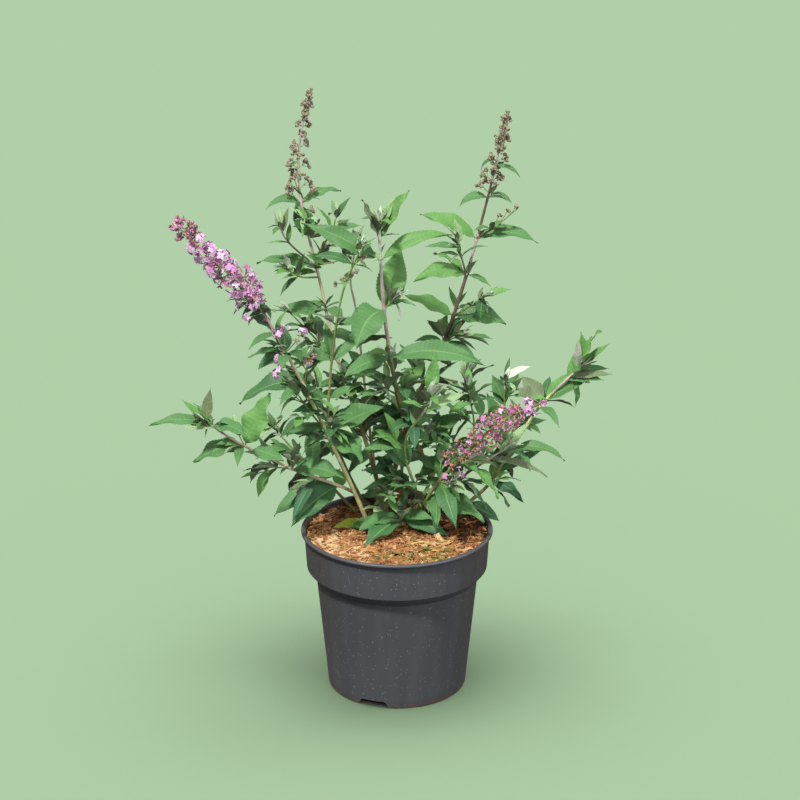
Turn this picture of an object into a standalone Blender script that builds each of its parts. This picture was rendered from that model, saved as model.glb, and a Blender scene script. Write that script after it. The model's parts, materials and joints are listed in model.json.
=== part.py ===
"""Butterfly bush in flower, standing in its nursery pot.

The plant is a clump of canes. Each cane follows a smooth route from the soil to its tip, and is cut
into a bare limb and one or more leafy masses. Leaves stand in opposite pairs, each pair turned a
quarter round from the last; a leaf that finds no room turns a little, or is left out.
Lengths in the tables are millimetres; everything is built in metres, with +Z up.
"""

import math
import random
from collections import namedtuple

import bmesh
import bpy
from mathutils import Matrix, Vector
from mathutils.bvhtree import BVHTree

MM = 0.001
GAP = 0.3  # clearance between neighbouring pieces
SEED = 11

# The pot: a thin-walled nursery pot with a deep collar and a rolled lip.
POT_HEIGHT = 188.0
POT_WALL = 1.6
FLOOR = 2.2
FOOT_EDGE = 0.8
FOOT_RADIUS = 78.5
BODY_RADIUS = 91.2
BODY_TOP = 130.0
COLLAR_FOOT = 143.5
COLLAR_RADIUS = 101.8
COLLAR_TOP_RADIUS = 104.2
LIP_RADIUS = 108.0
LIP_HEIGHT = 4.0
POT_STEPS = 40
NOTCH_WIDTH = 40.0
NOTCH_HEIGHT = 8.0
NOTCH_ANGLES = (-110.0, 10.0, 130.0)

# The root ball fills the pot to just under its lip.
SOIL_TOP = 178.0
SOIL_EDGE = 172.5
SOIL_FLAT_RADIUS = 96.0

# The old woody stool that the canes rise round.
STOOL_PLACE = (-5.0, 63.0)
STOOL_LEAN = (9.0, 5.0)
STOOL_HEIGHT = 38.0
STOOL_FLARE = 13.0
STOOL_RADIUS = 7.5

LEAF_BREADTH = 0.25  # blade width over length
LEAF_KEEL = 0.02  # depth of the keel over length
PETIOLE = 0.5  # half-width of a leaf's foot over the radius of its stem
LEAF_STATIONS = ((0.36, 1.0, 1.0), (0.72, 0.66, 0.6))  # place along the blade, breadth, keel
SHORT_LEAF = 42.0  # up to this length a blade has a single station
SHORT_STATIONS = ((0.42, 1.0, 1.0),)
SET_FACING = 34.0  # how far a set leaf's upper side rolls to the front
ROLL = 30.0
ROOM = 0.5  # clearance that a leaf keeps on each side
STEM_STEP = 24.0

# A shoot: its name, the shoot that it grows on and how far along, its route, its girth at foot and
# tip, the pieces that it is cut into (start, name), its leaf nodes, the turn of the first pair, the
# longest leaf, the angle off the stem, and how far a leaf bends down.
Shoot = namedtuple("Shoot", "name on at route girth pieces nodes turn leaf spread droop")

CANES = (
    Shoot("left_flowering", None, 0,
          ((-29, 14, 178), (-54, 0, 245), (-101, -25, 364), (-150, -45, 467), (-191, -55, 514),
           (-235, -60, 559)),
          (5.0, 2.2), ((0, "left_flowering_cane"), (124, "left_flowering_foliage"),
                       (313, "left_flower_spike")),
          (132, 138, 204, 246, 276, 303), 40, 46, 60, 45),
    Shoot("tall_left", None, 0,
          ((-10, 40, 178), (-36, 42, 277), (-66, 40, 373), (-84, 43, 459), (-105, 50, 555), (-105, 50, 618),
           (-92, 50, 676)),
          (5.4, 1.6), ((0, "tall_left_cane"), (96, "tall_left_lower_foliage"),
                       (236, "tall_left_upper_foliage"), (392, "left_bud_spike")),
          (112, 160, 204, 262, 310, 348, 384), 30, 62, 58, 50),
    Shoot("tall_centre", None, 0,
          ((57, 67, 178), (28, 38, 260), (5, 18, 321), (-12, -6, 428), (-18, -18, 520), (-18, -20, 552)),
          (7.0, 2.6), ((0, "tall_centre_cane"), (86, "tall_centre_lower_foliage"),
                       (258, "tall_centre_top_foliage")),
          (98, 136, 182, 230, 290, 348, 374, 392), 20, 74, 58, 45),
    Shoot("tall_right", None, 0,
          ((-15, 85, 178), (18, 62, 307), (52, 60, 386), (77, 65, 463), (103, 70, 564), (120, 70, 646)),
          (6.4, 1.6), ((0, "tall_right_cane"), (122, "tall_right_lower_foliage"),
                       (276, "tall_right_upper_foliage"), (404, "right_bud_spike")),
          (136, 170, 196, 222, 255, 303, 346, 394), 60, 66, 58, 50),
    Shoot("low_left", None, 0,
          ((-27, 67, 178), (-51, 15, 225), (-116, -20, 266), (-175, -38, 305), (-210, -45, 333)),
          (4.4, 2.2), ((0, "low_left_cane"), (84, "low_left_foliage"), (190, "low_left_tip_foliage")),
          (96, 128, 159, 222, 266, 274), 0, 60, 58, 45),
    Shoot("low_right", None, 0,
          ((64, 56, 178), (88, 60, 198), (106, 60, 217), (130, 52, 262), (164, 42, 321), (216, 30, 380)),
          (4.4, 2.2), ((0, "low_right_cane"), (42, "low_right_foliage"), (150, "low_right_tip_foliage")),
          (60, 104, 173, 218, 246), 90, 62, 58, 45),
    Shoot("right_flowering", None, 0,
          ((8, 44, 178), (24, 10, 205), (47, -10, 247), (91, -36, 307), (117, -47, 334), (158, -60, 359)),
          (5.0, 2.2), ((0, "right_flowering_cane"), (54, "right_flowering_foliage"),
                       (148, "right_flower_spike")),
          (64, 98, 132), 0, 66, 60, 50),
    Shoot("thin_right", None, 0,
          ((28, 36, 178), (34, 14, 214), (58, -4, 240), (102, -18, 277), (124, -22, 293)),
          (3.6, 2.0), ((0, "thin_right_cane"), (46, "thin_right_foliage")),
          (62, 92, 140, 168), 60, 54, 60, 45),
    Shoot("young_front", None, 0,
          ((20, 63, 178), (22, 34, 216), (10, -2, 270), (11, -15, 303), (30, -30, 338), (38, -36, 362)),
          (3.8, 2.0), ((0, "young_front_cane"), (50, "young_front_foliage")),
          (64, 98, 134, 166, 194, 212), 0, 56, 58, 45),
    Shoot("slender_back", None, 0,
          ((-17, 42, 178), (-31, 76, 274), (-45, 85, 408), (-52, 85, 453), (-44, 80, 500)),
          (3.8, 1.8), ((0, "slender_back_cane"), (72, "slender_back_foliage")),
          (92, 130, 168, 206, 318, 336), 45, 56, 58, 45),
    Shoot("short_front", None, 0,
          ((3, 20, 178), (4, 10, 189), (4, 2, 202)),
          (3.4, 2.2), ((0, "short_front_cane"), (13, "short_front_foliage")),
          (22, 28), 20, 60, 80, 30),
    Shoot("little_front", None, 0,
          ((-12, 22, 178), (-10, 12, 196), (-14, 6, 222)),
          (3.0, 1.8), ((0, "little_front_cane"), (13, "little_front_foliage")),
          (24, 38, 46), 30, 40, 62, 40),
    Shoot("back_left", None, 0,
          ((-36, 78, 178), (-62, 104, 224), (-84, 120, 280), (-96, 128, 320)),
          (4.2, 2.0), ((0, "back_left_cane"), (36, "back_left_foliage")),
          (46, 76, 106, 134, 152), 10, 66, 60, 50),
    Shoot("back_middle", None, 0,
          ((3, 90, 178), (6, 116, 232), (2, 132, 290), (-6, 138, 340)),
          (4.2, 2.0), ((0, "back_middle_cane"), (36, "back_middle_foliage")),
          (46, 78, 110, 140, 164), 50, 66, 60, 50),
    Shoot("back_right", None, 0,
          ((25, 86, 178), (48, 108, 222), (70, 124, 280), (84, 130, 330)),
          (4.2, 2.0), ((0, "back_right_cane"), (36, "back_right_foliage")),
          (46, 78, 108, 138, 158), 80, 66, 60, 50),
    Shoot("far_left", None, 0,
          ((-44, 58, 178), (-84, 84, 212), (-126, 112, 244), (-146, 124, 268)),
          (3.8, 2.0), ((0, "far_left_cane"), (38, "far_left_foliage")),
          (48, 78, 108, 134, 144), 40, 62, 60, 45),
    Shoot("far_right", None, 0,
          ((46, 79, 178), (76, 98, 208), (112, 118, 238), (150, 134, 270)),
          (3.8, 2.0), ((0, "far_right_cane"), (38, "far_right_foliage")),
          (48, 78, 106, 130, 142), 0, 62, 60, 45),
)

SIDE_SHOOTS = (
    Shoot("green_side", "left_flowering", 140, ((-71, -14, 389), (-59, -18, 466), (-37, -22, 523)),
          (3.0, 1.8), (), (40, 84, 126, 176, 198, 214), 0, 46, 60, 40),
    Shoot("left_inner", "left_flowering", 142, ((-95, -20, 333), (-114, -30, 367)),
          (2.2, 1.6), (), (26, 44), 60, 34, 55, 40),
    Shoot("left_low", "tall_left", 200, ((-97, 32, 408), (-122, 24, 438)),
          (2.2, 1.6), (), (30, 52), 50, 40, 55, 40),
    Shoot("left_mid", "tall_left", 300, ((-106, 32, 472), (-123, 24, 486)),
          (2.2, 1.6), (), (26, 40), 50, 34, 55, 40),
    Shoot("left_high", "tall_left", 312, ((-121, 34, 514), (-129, 32, 543)),
          (2.2, 1.6), (), (44, 62), 20, 26, 40, 20),
    Shoot("left_back", "tall_left", 320, ((-70, 42, 524), (-66, 42, 545)),
          (2.2, 1.6), (), (40, 56), 10, 38, 40, 25),
    Shoot("left_right", "tall_left", 314, ((-65, 36, 489), (-50, 34, 502)),
          (2.2, 1.6), (), (36, 46), 30, 34, 45, 25),
    Shoot("right_inner", "tall_right", 303, ((71, 58, 488), (65, 52, 512)),
          (2.2, 1.6), (), (26, 40), 10, 34, 50, 40),
    Shoot("right_sprig", "tall_right", 348, ((105, 62, 518), (133, 56, 543)),
          (2.0, 1.2), (), (18,), 30, 22, 45, 20),
    Shoot("right_outer", "tall_right", 256, ((77, 52, 429), (98, 46, 447)),
          (2.2, 1.6), (), (26, 38), 20, 28, 50, 35),
    Shoot("right_upright", "thin_right", 119, ((86, 12, 305), (82, 12, 332), (77, 10, 358)),
          (2.4, 1.6), (), (50, 74, 92), 20, 30, 48, 30),
    Shoot("right_low", "low_right", 106, ((122, 58, 312), (122, 60, 346)),
          (2.4, 1.6), (), (60, 78), 20, 32, 45, 25),
)

# Leaves that stand out in the outline: (shoot, node, side): heading, rise, length, droop, breadth.
SET_LEAVES = {
    ("tall_centre", 1, 1): (188, 38, 44, 50, 0.30),
    ("tall_centre", 3, 0): (-8, 24, 108, 50, 0.19),
    ("tall_centre", 3, 1): (205, 8, 62, 45, 0.30),
    ("tall_centre", 4, 0): (55, 64, 74, 12, 0.38),
    ("tall_centre", 4, 1): (236, 14, 70, 80, 0.44),
    ("tall_centre", 5, 0): (4, 50, 86, 64, 0.17),
    ("tall_centre", 5, 1): (188, 38, 96, 20, 0.20),
    ("tall_centre", 6, 0): (14, 68, 60, 22, 0.26),
    ("tall_centre", 6, 1): (200, 68, 48, 2, 0.30),
    ("tall_left", 3, 1): (182, 14, 56, 26, 0.27),
    ("tall_left", 4, 0): (236, 48, 36, 30, 0.40),
    ("tall_left", 4, 1): (178, 30, 68, 46, 0.21),
    ("tall_left", 5, 0): (295, 48, 38, 10, 0.48),
    ("tall_left", 5, 1): (120, 60, 42, 10, 0.45),
    ("tall_left", 6, 0): (18, 46, 50, 66, 0.22),
    ("tall_left", 6, 1): (190, 40, 44, 92, 0.24),
    ("tall_right", 3, 0): (8, 42, 42, 10, 0.20),
    ("tall_right", 3, 1): (186, 34, 34, 60, 0.24),
    ("tall_right", 4, 0): (-14, 22, 62, 56, 0.34),
    ("tall_right", 4, 1): (186, 38, 62, 24, 0.28),
    ("tall_right", 5, 1): (190, 34, 64, 76, 0.30),
    ("tall_right", 6, 0): (-6, 32, 72, 70, 0.24),
    ("tall_right", 6, 1): (175, 44, 70, 42, 0.25),
    ("tall_right", 7, 0): (0, 30, 30, 90, 0.24),
    ("tall_right", 7, 1): (186, 26, 36, 84, 0.26),
    ("left_flowering", 0, 0): (312, 10, 62, 36, 0.46),
    ("left_flowering", 1, 0): (-18, 40, 76, 18, 0.38),
    ("left_flowering", 1, 1): (186, 26, 52, 54, 0.24),
    ("left_flowering", 3, 1): (196, 14, 38, 70, 0.34),
    ("green_side", 0, 0): (-8, 36, 34, 20, 0.30),
    ("green_side", 0, 1): (182, 32, 56, 24, 0.20),
    ("green_side", 1, 0): (12, 48, 40, 30, 0.30),
    ("green_side", 1, 1): (180, 32, 46, 40, 0.28),
    ("green_side", 4, 1): (178, 36, 46, 48, 0.20),
    ("low_left", 0, 0): (200, 4, 64, 48, 0.32),
    ("low_left", 0, 1): (226, -2, 76, 46, 0.30),
    ("low_left", 2, 0): (-14, 18, 62, 44, 0.38),
    ("low_left", 3, 0): (34, 60, 64, -4, 0.42),
    ("low_left", 3, 1): (190, 8, 60, 48, 0.34),
    ("low_left", 4, 0): (-20, 18, 46, 52, 0.40),
    ("low_left", 4, 1): (186, 28, 70, 54, 0.17),
    ("low_left", 5, 0): (60, 84, 38, 4, 0.28),
    ("low_left", 5, 1): (172, 48, 36, 10, 0.22),
    ("low_right", 1, 0): (-10, 36, 70, 82, 0.18),
    ("low_right", 1, 1): (165, 74, 76, 6, 0.30),
    ("low_right", 2, 1): (196, 52, 38, 20, 0.56),
    ("low_right", 3, 0): (-10, 18, 42, 30, 0.26),
    ("low_right", 3, 1): (30, 64, 56, 10, 0.20),
    ("low_right", 4, 0): (4, 46, 34, 10, 0.20),
    ("low_right", 4, 1): (120, 80, 36, 4, 0.30),
    ("right_flowering", 0, 0): (-30, 20, 80, 52, 0.32),
    ("right_flowering", 2, 0): (4, 34, 50, 86, 0.30),
    ("thin_right", 3, 0): (30, 46, 36, 10, 0.26),
    ("young_front", 0, 1): (188, 16, 60, 36, 0.26),
    ("young_front", 1, 1): (176, 54, 50, 10, 0.32),
    ("young_front", 4, 0): (0, 30, 50, 14, 0.24),
    ("young_front", 5, 0): (62, 80, 50, 2, 0.26),
    ("short_front", 0, 0): (238, 10, 72, 40, 0.30),
    ("short_front", 0, 1): (-24, 6, 62, 34, 0.24),
    ("short_front", 1, 0): (202, 8, 56, 36, 0.28),
    ("short_front", 1, 1): (-4, 30, 42, 40, 0.30),
}

# Short twigs in the leaf axils of the canes.
TWIG_CHANCE = 0.3
TWIG_SPAN = (0.2, 0.8)  # the stretch of a cane that bears them
TWIG_LENGTH = (20.0, 34.0)
TWIG_GIRTH = (2.0, 1.4)
TWIG_LEAF = 32.0

# How a leaf with no room may move: degrees of heading and of rise.
SWAYS = ((0, 0), (12, 6), (-12, 6), (24, -6), (-24, -6), (0, 18), (34, 10), (-34, 10))

# Flower spikes: the shoot, where the flowers begin, the widest half-width, and where it is widest.
FLOWER_SPIKES = (("left_flowering", 318, 18.0, 0.25), ("right_flowering", 160, 17.0, 0.35))
FLOWER_STEP = 15.5
FLOWERS_AROUND = 3
# Bud spikes: the shoot, where the buds begin, and the longest stalk.
BUD_SPIKES = (("tall_left", 398, 9.0), ("tall_right", 410, 8.0))
BUD_STEP = 11.5
STALK_RADIUS = 0.8


class Route:
    """A smooth curve through a few points, read by the distance along it."""

    SAMPLES = 10

    def __init__(self, points):
        points = [Vector(point) * MM for point in points]
        points = [2 * points[0] - points[1], *points, 2 * points[-1] - points[-2]]
        self.points = []
        for before, start, end, after in zip(points, points[1:], points[2:], points[3:]):
            for i in range(self.SAMPLES):
                t = i / self.SAMPLES
                bend = (2 * before - 5 * start + 4 * end - after) * t * t
                rush = (3 * start - before - 3 * end + after) * t * t * t
                self.points.append(0.5 * (2 * start + (end - before) * t + bend + rush))
        self.points.append(points[-2])
        self.distances = [0.0]
        for start, end in zip(self.points, self.points[1:]):
            self.distances.append(self.distances[-1] + (end - start).length)
        self.length = self.distances[-1]

    def point(self, distance):
        distance = min(max(distance, 0.0), self.length)
        for i, reached in enumerate(self.distances[1:]):
            if distance <= reached:
                span = reached - self.distances[i]
                return self.points[i].lerp(self.points[i + 1], (distance - self.distances[i]) / span)
        return self.points[-1].copy()

    def direction(self, distance):
        ahead = self.point(distance + 2 * MM)
        behind = self.point(distance - 2 * MM)
        return (ahead - behind).normalized()


class Stem:
    """A grown shoot: its route, its girth along it, and the node that each stretch belongs to."""

    def __init__(self, shoot, parent):
        points = shoot.route
        self.pieces = [(start * MM, name) for start, name in shoot.pieces]
        if parent:
            root = parent.route.point(shoot.at * MM)
            points = (tuple(root / MM), *points)
            self.pieces = [(0.0, parent.piece_at(shoot.at * MM))]
        self.shoot = shoot
        self.parent = parent
        self.route = Route(points)

    def radius(self, distance):
        foot, tip = self.shoot.girth
        return (foot + (tip - foot) * distance / self.route.length) / 2 * MM

    def piece_at(self, distance):
        return [name for start, name in self.pieces if start <= distance][-1]

    def stretches(self):
        """(name, start, end) of each piece, with the gap left open between neighbours."""
        half = GAP / 2 * MM
        for i, (start, name) in enumerate(self.pieces):
            last = i + 1 == len(self.pieces)
            end = self.route.length if last else self.pieces[i + 1][0] - half
            yield name, start + (half if i else 0.0), end

    def stations(self, start, end, step=STEM_STEP * MM):
        """Matrices of unit rings along the stretch. A stretch from the soil starts level and flared."""
        from_soil = self.parent is None and start == 0.0
        count = max(2, round((end - start) / step) + 1)
        places = [start + (end - start) * i / (count - 1) for i in range(count)]
        if from_soil:
            places.insert(1, 7 * MM)
        matrices = []
        frame = Matrix.Identity(3)
        upright = Vector((0.0, 0.0, 1.0))
        heading = upright
        for place in places:
            onward = upright if from_soil and place == 0.0 else self.route.direction(place)
            frame = heading.rotation_difference(onward).to_matrix() @ frame
            heading = onward
            radius = self.radius(place) * (1.3 if from_soil and place == 0.0 else 1.0)
            scale = Matrix.Diagonal((radius, radius, radius, 1.0))
            point = self.route.point(place)
            if from_soil and place == 0.0:
                point.z = (SOIL_TOP + GAP) * MM
            matrices.append(Matrix.Translation(point) @ frame.to_4x4() @ scale)
        return matrices


Leaf = namedtuple("Leaf", "node root heading rise length droop breadth roll petiole")


def loft(stations, sides, to_point=False):
    """A closed skin through rings of the given number of sides, placed by the stations' matrices."""
    bm = bmesh.new()
    bmesh.ops.create_circle(bm, cap_ends=True, radius=1.0, segments=sides, matrix=stations[0])
    cap = list(bm.faces)[0]
    ring = list(bm.verts)
    here = stations[0]
    for i, there in enumerate(stations[1:]):
        made = bmesh.ops.extrude_face_region(bm, geom=[cap])["geom"]
        if i:
            bmesh.ops.delete(bm, geom=[cap], context="FACES_ONLY")
        ring = [part for part in made if isinstance(part, bmesh.types.BMVert)]
        cap = next(part for part in made if isinstance(part, bmesh.types.BMFace))
        bmesh.ops.transform(bm, matrix=there @ here.inverted(), verts=ring)
        here = there
    if to_point:
        bmesh.ops.pointmerge(bm, verts=ring, merge_co=stations[-1].translation)
    bmesh.ops.recalc_face_normals(bm, faces=bm.faces)
    return bm


def leaf_frame(leaf, s):
    """The blade's place at s, from 0 at its root to 1 at its tip: point, side, up and onward."""
    heading = math.radians(leaf.heading)
    level = Vector((math.cos(heading), math.sin(heading), 0.0))
    point = leaf.root.copy()
    steps = 12
    for i in range(round(steps * s)):
        rise = math.radians(leaf.rise - leaf.droop * (i + 0.5) / steps)
        point += (level * math.cos(rise) + Vector((0, 0, math.sin(rise)))) * leaf.length / steps * MM
    rise = math.radians(leaf.rise - leaf.droop * s)
    onward = level * math.cos(rise) + Vector((0, 0, math.sin(rise)))
    up = Vector((0, 0, math.cos(rise))) - level * math.sin(rise)
    up.rotate(Matrix.Rotation(math.radians(leaf.roll), 3, onward))
    return point, onward.cross(up), up, onward


def leaf_station(leaf, s, half_width, keel):
    """A matrix that sets a unit triangle across the blade: a flat top, with the keel under it."""
    point, side, up, onward = leaf_frame(leaf, s)
    turn = Matrix((side, -up, onward)).transposed().to_4x4()
    size = Matrix.Diagonal((half_width / math.cos(math.radians(30)), keel / 1.5, keel, 1.0))
    return Matrix.Translation(point) @ turn @ size


def leaf_mesh(leaf, room=0.0, first=0.0):
    """The blade as a closed solid from `first` on, thickened all round by the room."""
    half = leaf.length * leaf.breadth / 2
    keel = max(LEAF_KEEL * leaf.length, 0.9)
    root_half = leaf.petiole + (half - leaf.petiole) * first / LEAF_STATIONS[0][0]
    stations = [leaf_station(leaf, first, (root_half + room) * MM, (leaf.petiole * 1.5 + 2 * room) * MM)]
    for s, width, depth in SHORT_STATIONS if leaf.length < SHORT_LEAF else LEAF_STATIONS:
        stations.append(leaf_station(leaf, s, (half * width + room) * MM, (keel * depth + 2 * room) * MM))
    stations.append(leaf_station(leaf, 1.0, MM, MM))
    return loft(stations, 3, to_point=True)


def aim_from(onward, turn, spread):
    """The direction that leaves a stem at the angle `spread`, turned round it from the +X side."""
    across = Vector((1, 0, 0)) - onward * onward.x
    across.normalize()
    beyond = onward.cross(across)
    out = across * math.cos(math.radians(turn)) + beyond * math.sin(math.radians(turn))
    return onward * math.cos(math.radians(spread)) + out * math.sin(math.radians(spread))


def stem_tree(stem, start, end):
    bm = loft(stem.stations(start, end), 8)
    tree = BVHTree.FromBMesh(bm)
    bm.free()
    return tree


def grow_stems(rng):
    """Every shoot, and the short twigs that a seeded rule sets in the axils of the canes."""
    stems = {}
    for shoot in CANES + SIDE_SHOOTS:
        stems[shoot.name] = Stem(shoot, stems.get(shoot.on))
    walls = [(stem, stem_tree(stem, 0.0, stem.route.length)) for stem in stems.values()]
    for cane in CANES:
        parent = stems[cane.name]
        for k, node in enumerate(cane.nodes):
            turn = cane.turn + 90 * k + rng.choice((0, 180)) + rng.uniform(-20, 20)
            length = rng.uniform(*TWIG_LENGTH)
            fraction = node * MM / parent.route.length
            if rng.random() > TWIG_CHANCE or not TWIG_SPAN[0] < fraction < TWIG_SPAN[1]:
                continue
            aim = aim_from(parent.route.direction(node * MM), turn, 42)
            tip = parent.route.point(node * MM) / MM + aim * length
            twig = Stem(Shoot(f"{cane.name}_twig_{k}", cane.name, node, (tuple(tip),), TWIG_GIRTH, (),
                              (length * 0.6, length), turn, TWIG_LEAF, 52, 35), parent)
            tree = stem_tree(twig, 5 * MM, twig.route.length)
            if not any(tree.overlap(wall) for owner, wall in walls if owner is not parent):
                stems[twig.shoot.name] = twig
                walls.append((twig, tree))
    return stems


def size_along(fraction):
    """How a leaf's length changes up a shoot: full below the middle, short at the tip."""
    return 1.0 - 0.6 * max(0.0, (fraction - 0.45) / 0.55) ** 1.3


def wanted_leaves(stems, rng):
    """Every leaf that the rule asks for, the set ones first: (stem, leaf)."""
    chosen = []
    ruled = []
    for stem in stems.values():
        shoot = stem.shoot
        for k, node in enumerate(shoot.nodes):
            distance = min(node * MM, stem.route.length - MM)
            onward = stem.route.direction(distance)
            for side in (0, 1):
                turn = shoot.turn + 90 * k + 180 * side + rng.uniform(-14, 14)
                aim = aim_from(onward, turn, shoot.spread + rng.uniform(-8, 8))
                heading = math.degrees(math.atan2(aim.y, aim.x))
                rise = math.degrees(math.asin(max(-1.0, min(1.0, aim.z))))
                length = shoot.leaf * size_along(distance / stem.route.length) * rng.uniform(0.88, 1.08)
                droop = shoot.droop + rng.uniform(-12, 12)
                breadth = LEAF_BREADTH * rng.uniform(0.9, 1.15)
                roll = rng.uniform(-ROLL, ROLL)
                given = SET_LEAVES.get((shoot.name, k, side))
                if given:
                    heading, rise, length, droop, breadth = given
                    roll = SET_FACING * math.cos(math.radians(heading))
                level = Vector((math.cos(math.radians(heading)), math.sin(math.radians(heading)), 0.0))
                off_axis = (level - onward * level.dot(onward)) * 0.25 * stem.radius(distance)
                root = stem.route.point(distance) + off_axis
                petiole = PETIOLE * stem.radius(distance) / MM
                node_name = stem.piece_at(distance)
                leaf = Leaf(node_name, root, heading, rise, length, droop, breadth, roll, petiole)
                (chosen if given else ruled).append((stem, leaf))
    return chosen + ruled


def leaf_tree(leaf, first):
    bm = leaf_mesh(leaf, ROOM, first)
    tree = BVHTree.FromBMesh(bm)
    bm.free()
    return tree


def is_kin(stem, other):
    """Whether one of the two grows on the other, so that their leaves may meet at the joint."""
    return other is not None and (other is stem.parent or other.parent is stem)


def place_leaves(stems, obstacles, rng):
    """The leaves that find room, each swayed a little where that helps."""
    placed = []
    walls = [(None, BVHTree.FromBMesh(bm)) for bm in obstacles]
    for stem in stems.values():
        for _, start, end in stem.stretches():
            walls.append((stem, stem_tree(stem, start, end)))
    for stem, leaf in wanted_leaves(stems, rng):
        for sway, lift in SWAYS:
            tried = leaf._replace(heading=leaf.heading + sway, rise=leaf.rise + lift)
            whole = leaf_tree(tried, 0.0)
            blade = leaf_tree(tried, 0.18)
            if not any((blade if is_kin(stem, owner) else whole).overlap(wall)
                       for owner, wall in walls if owner is not stem):
                placed.append(tried)
                walls.append((stem, whole))
                break
    return placed


def flower_balls(stem, start, widest, peak, rng):
    """The cymes of a flower spike as balls: (node, place, radius), in whorls that taper to the tip."""
    length = stem.route.length - start
    steps = round(length / (FLOWER_STEP * MM))
    balls = []
    for i in range(steps + 1):
        f = i / steps
        spread = widest * MM * min(1.0, 0.55 + 0.45 * f / peak)
        spread *= 1.0 - 0.62 * max(0.0, (f - peak) / (1 - peak))
        distance = start + length * f * 0.97
        onward = stem.route.direction(distance)
        for j in range(FLOWERS_AROUND if i < steps else 1):
            out = aim_from(onward, 360 * (j + 0.5 * (i % 2)) / FLOWERS_AROUND + rng.uniform(-14, 14), 90)
            radius = spread * 0.56 * rng.uniform(0.9, 1.1)
            reach = spread - radius if i < steps else 0.0
            place = stem.route.point(distance) + out * reach + onward * rng.uniform(-1.5, 1.5) * MM
            balls.append((stem.piece_at(distance), place, radius))
    return balls


def bud_knots(stem, start, longest, rng):
    """The bud clusters of a spike: (node, foot of the stalk, place, radius)."""
    length = stem.route.length - start
    steps = round(length / (BUD_STEP * MM))
    knots = []
    for i in range(steps):
        f = i / steps
        distance = start + length * (i + 0.3) / steps
        for side in (0, 1):
            turn = 20 + 90 * i + 180 * side + rng.uniform(-25, 25)
            aim = aim_from(stem.route.direction(distance), turn, 62)
            reach = (longest * (1 - 0.75 * f) + rng.uniform(-0.8, 0.8)) * MM
            radius = (3.6 - 1.7 * f) * rng.uniform(0.9, 1.15) * MM
            foot = stem.route.point(distance)
            knots.append((stem.piece_at(distance), foot, foot + aim * reach, radius))
    return knots


def ball(place, radius, turn):
    bm = bmesh.new()
    matrix = Matrix.Translation(place) @ Matrix.Rotation(turn, 4, "Z")
    bmesh.ops.create_icosphere(bm, subdivisions=1, radius=radius, matrix=matrix)
    return bm


def knot(foot, place, radius):
    """A bud cluster that widens from its foot on the stem to the place, and closes beyond it."""
    onward = (place - foot).normalized()
    frame = Vector((0, 0, 1)).rotation_difference(onward).to_matrix().to_4x4()
    rings = (
        (foot, STALK_RADIUS * MM),
        (place, radius),
        (place + onward * radius, radius * 0.5),
    )
    return loft([Matrix.Translation(point) @ frame @ Matrix.Diagonal((size, size, size, 1.0))
                 for point, size in rings], 4)


def lathe(profile, steps):
    """The (radius, height) profile in millimetres, turned once round the axis."""
    bm = bmesh.new()
    ring = [bm.verts.new((radius * MM, 0.0, height * MM)) for radius, height in profile]
    edges = [bm.edges.new(pair) for pair in zip(ring, ring[1:])]
    bmesh.ops.spin(bm, geom=ring + edges, cent=(0, 0, 0), axis=(0, 0, 1), angle=2 * math.pi,
                   steps=steps, use_merge=True)
    bmesh.ops.remove_doubles(bm, verts=bm.verts, dist=1e-6)
    bmesh.ops.recalc_face_normals(bm, faces=bm.faces)
    return bm


def add_object(name, bm, material=None, sharp_degrees=35):
    mesh = bpy.data.meshes.new(name)
    bm.to_mesh(mesh)
    bm.free()
    mesh.shade_smooth()
    mesh.set_sharp_from_angle(angle=math.radians(sharp_degrees))
    if material:
        mesh.materials.append(material)
    obj = bpy.data.objects.new(name, mesh)
    bpy.context.scene.collection.objects.link(obj)
    return obj


def plain_material(name, colour, roughness):
    material = bpy.data.materials.new(name)
    material.use_nodes = True
    shader = material.node_tree.nodes["Principled BSDF"]
    shader.inputs["Base Color"].default_value = (*colour, 1.0)
    shader.inputs["Roughness"].default_value = roughness
    shader.inputs["Metallic"].default_value = 0.0
    return material


def main_body(bm):
    """Keeps the largest closed body of a mesh, without loose scraps or sealed hollows."""
    left = set(bm.verts)
    bodies = []
    while left:
        body = {left.pop()}
        edge = list(body)
        while edge:
            vert = edge.pop()
            near = {link.other_vert(vert) for link in vert.link_edges} - body
            body |= near
            edge.extend(near)
        left -= body
        bodies.append(body)
    bodies.sort(key=len)
    scraps = [vert for body in bodies[:-1] for vert in body]
    bmesh.ops.delete(bm, geom=scraps, context="VERTS")


def fuse(name, parts, material):
    """One closed solid: the first part joined with all the others by a Boolean union on a collection.

    The solver is MANIFOLD, because EXACT seals slivers of space where leaf feet meet inside a twig.
    """
    first = add_object(name, parts[0], material)
    if len(parts) == 1:
        return first
    others = bpy.data.collections.new(name + "_parts")
    bpy.context.scene.collection.children.link(others)
    for i, bm in enumerate(parts[1:]):
        mesh = bpy.data.meshes.new(f"{name}_{i}")
        bm.to_mesh(mesh)
        bm.free()
        others.objects.link(bpy.data.objects.new(mesh.name, mesh))
    union = first.modifiers.new("union", "BOOLEAN")
    union.operation = "UNION"
    union.operand_type = "COLLECTION"
    union.collection = others
    union.solver = "MANIFOLD"
    bpy.context.view_layer.update()
    joined = bmesh.new()
    joined.from_object(first, bpy.context.evaluated_depsgraph_get())
    first.modifiers.remove(union)
    for obj in list(others.objects):
        bpy.data.objects.remove(obj, do_unlink=True)
    bpy.data.collections.remove(others)
    main_body(joined)
    joined.to_mesh(first.data)
    joined.free()
    first.data.shade_smooth()
    first.data.set_sharp_from_angle(angle=math.radians(35))
    return first


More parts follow.
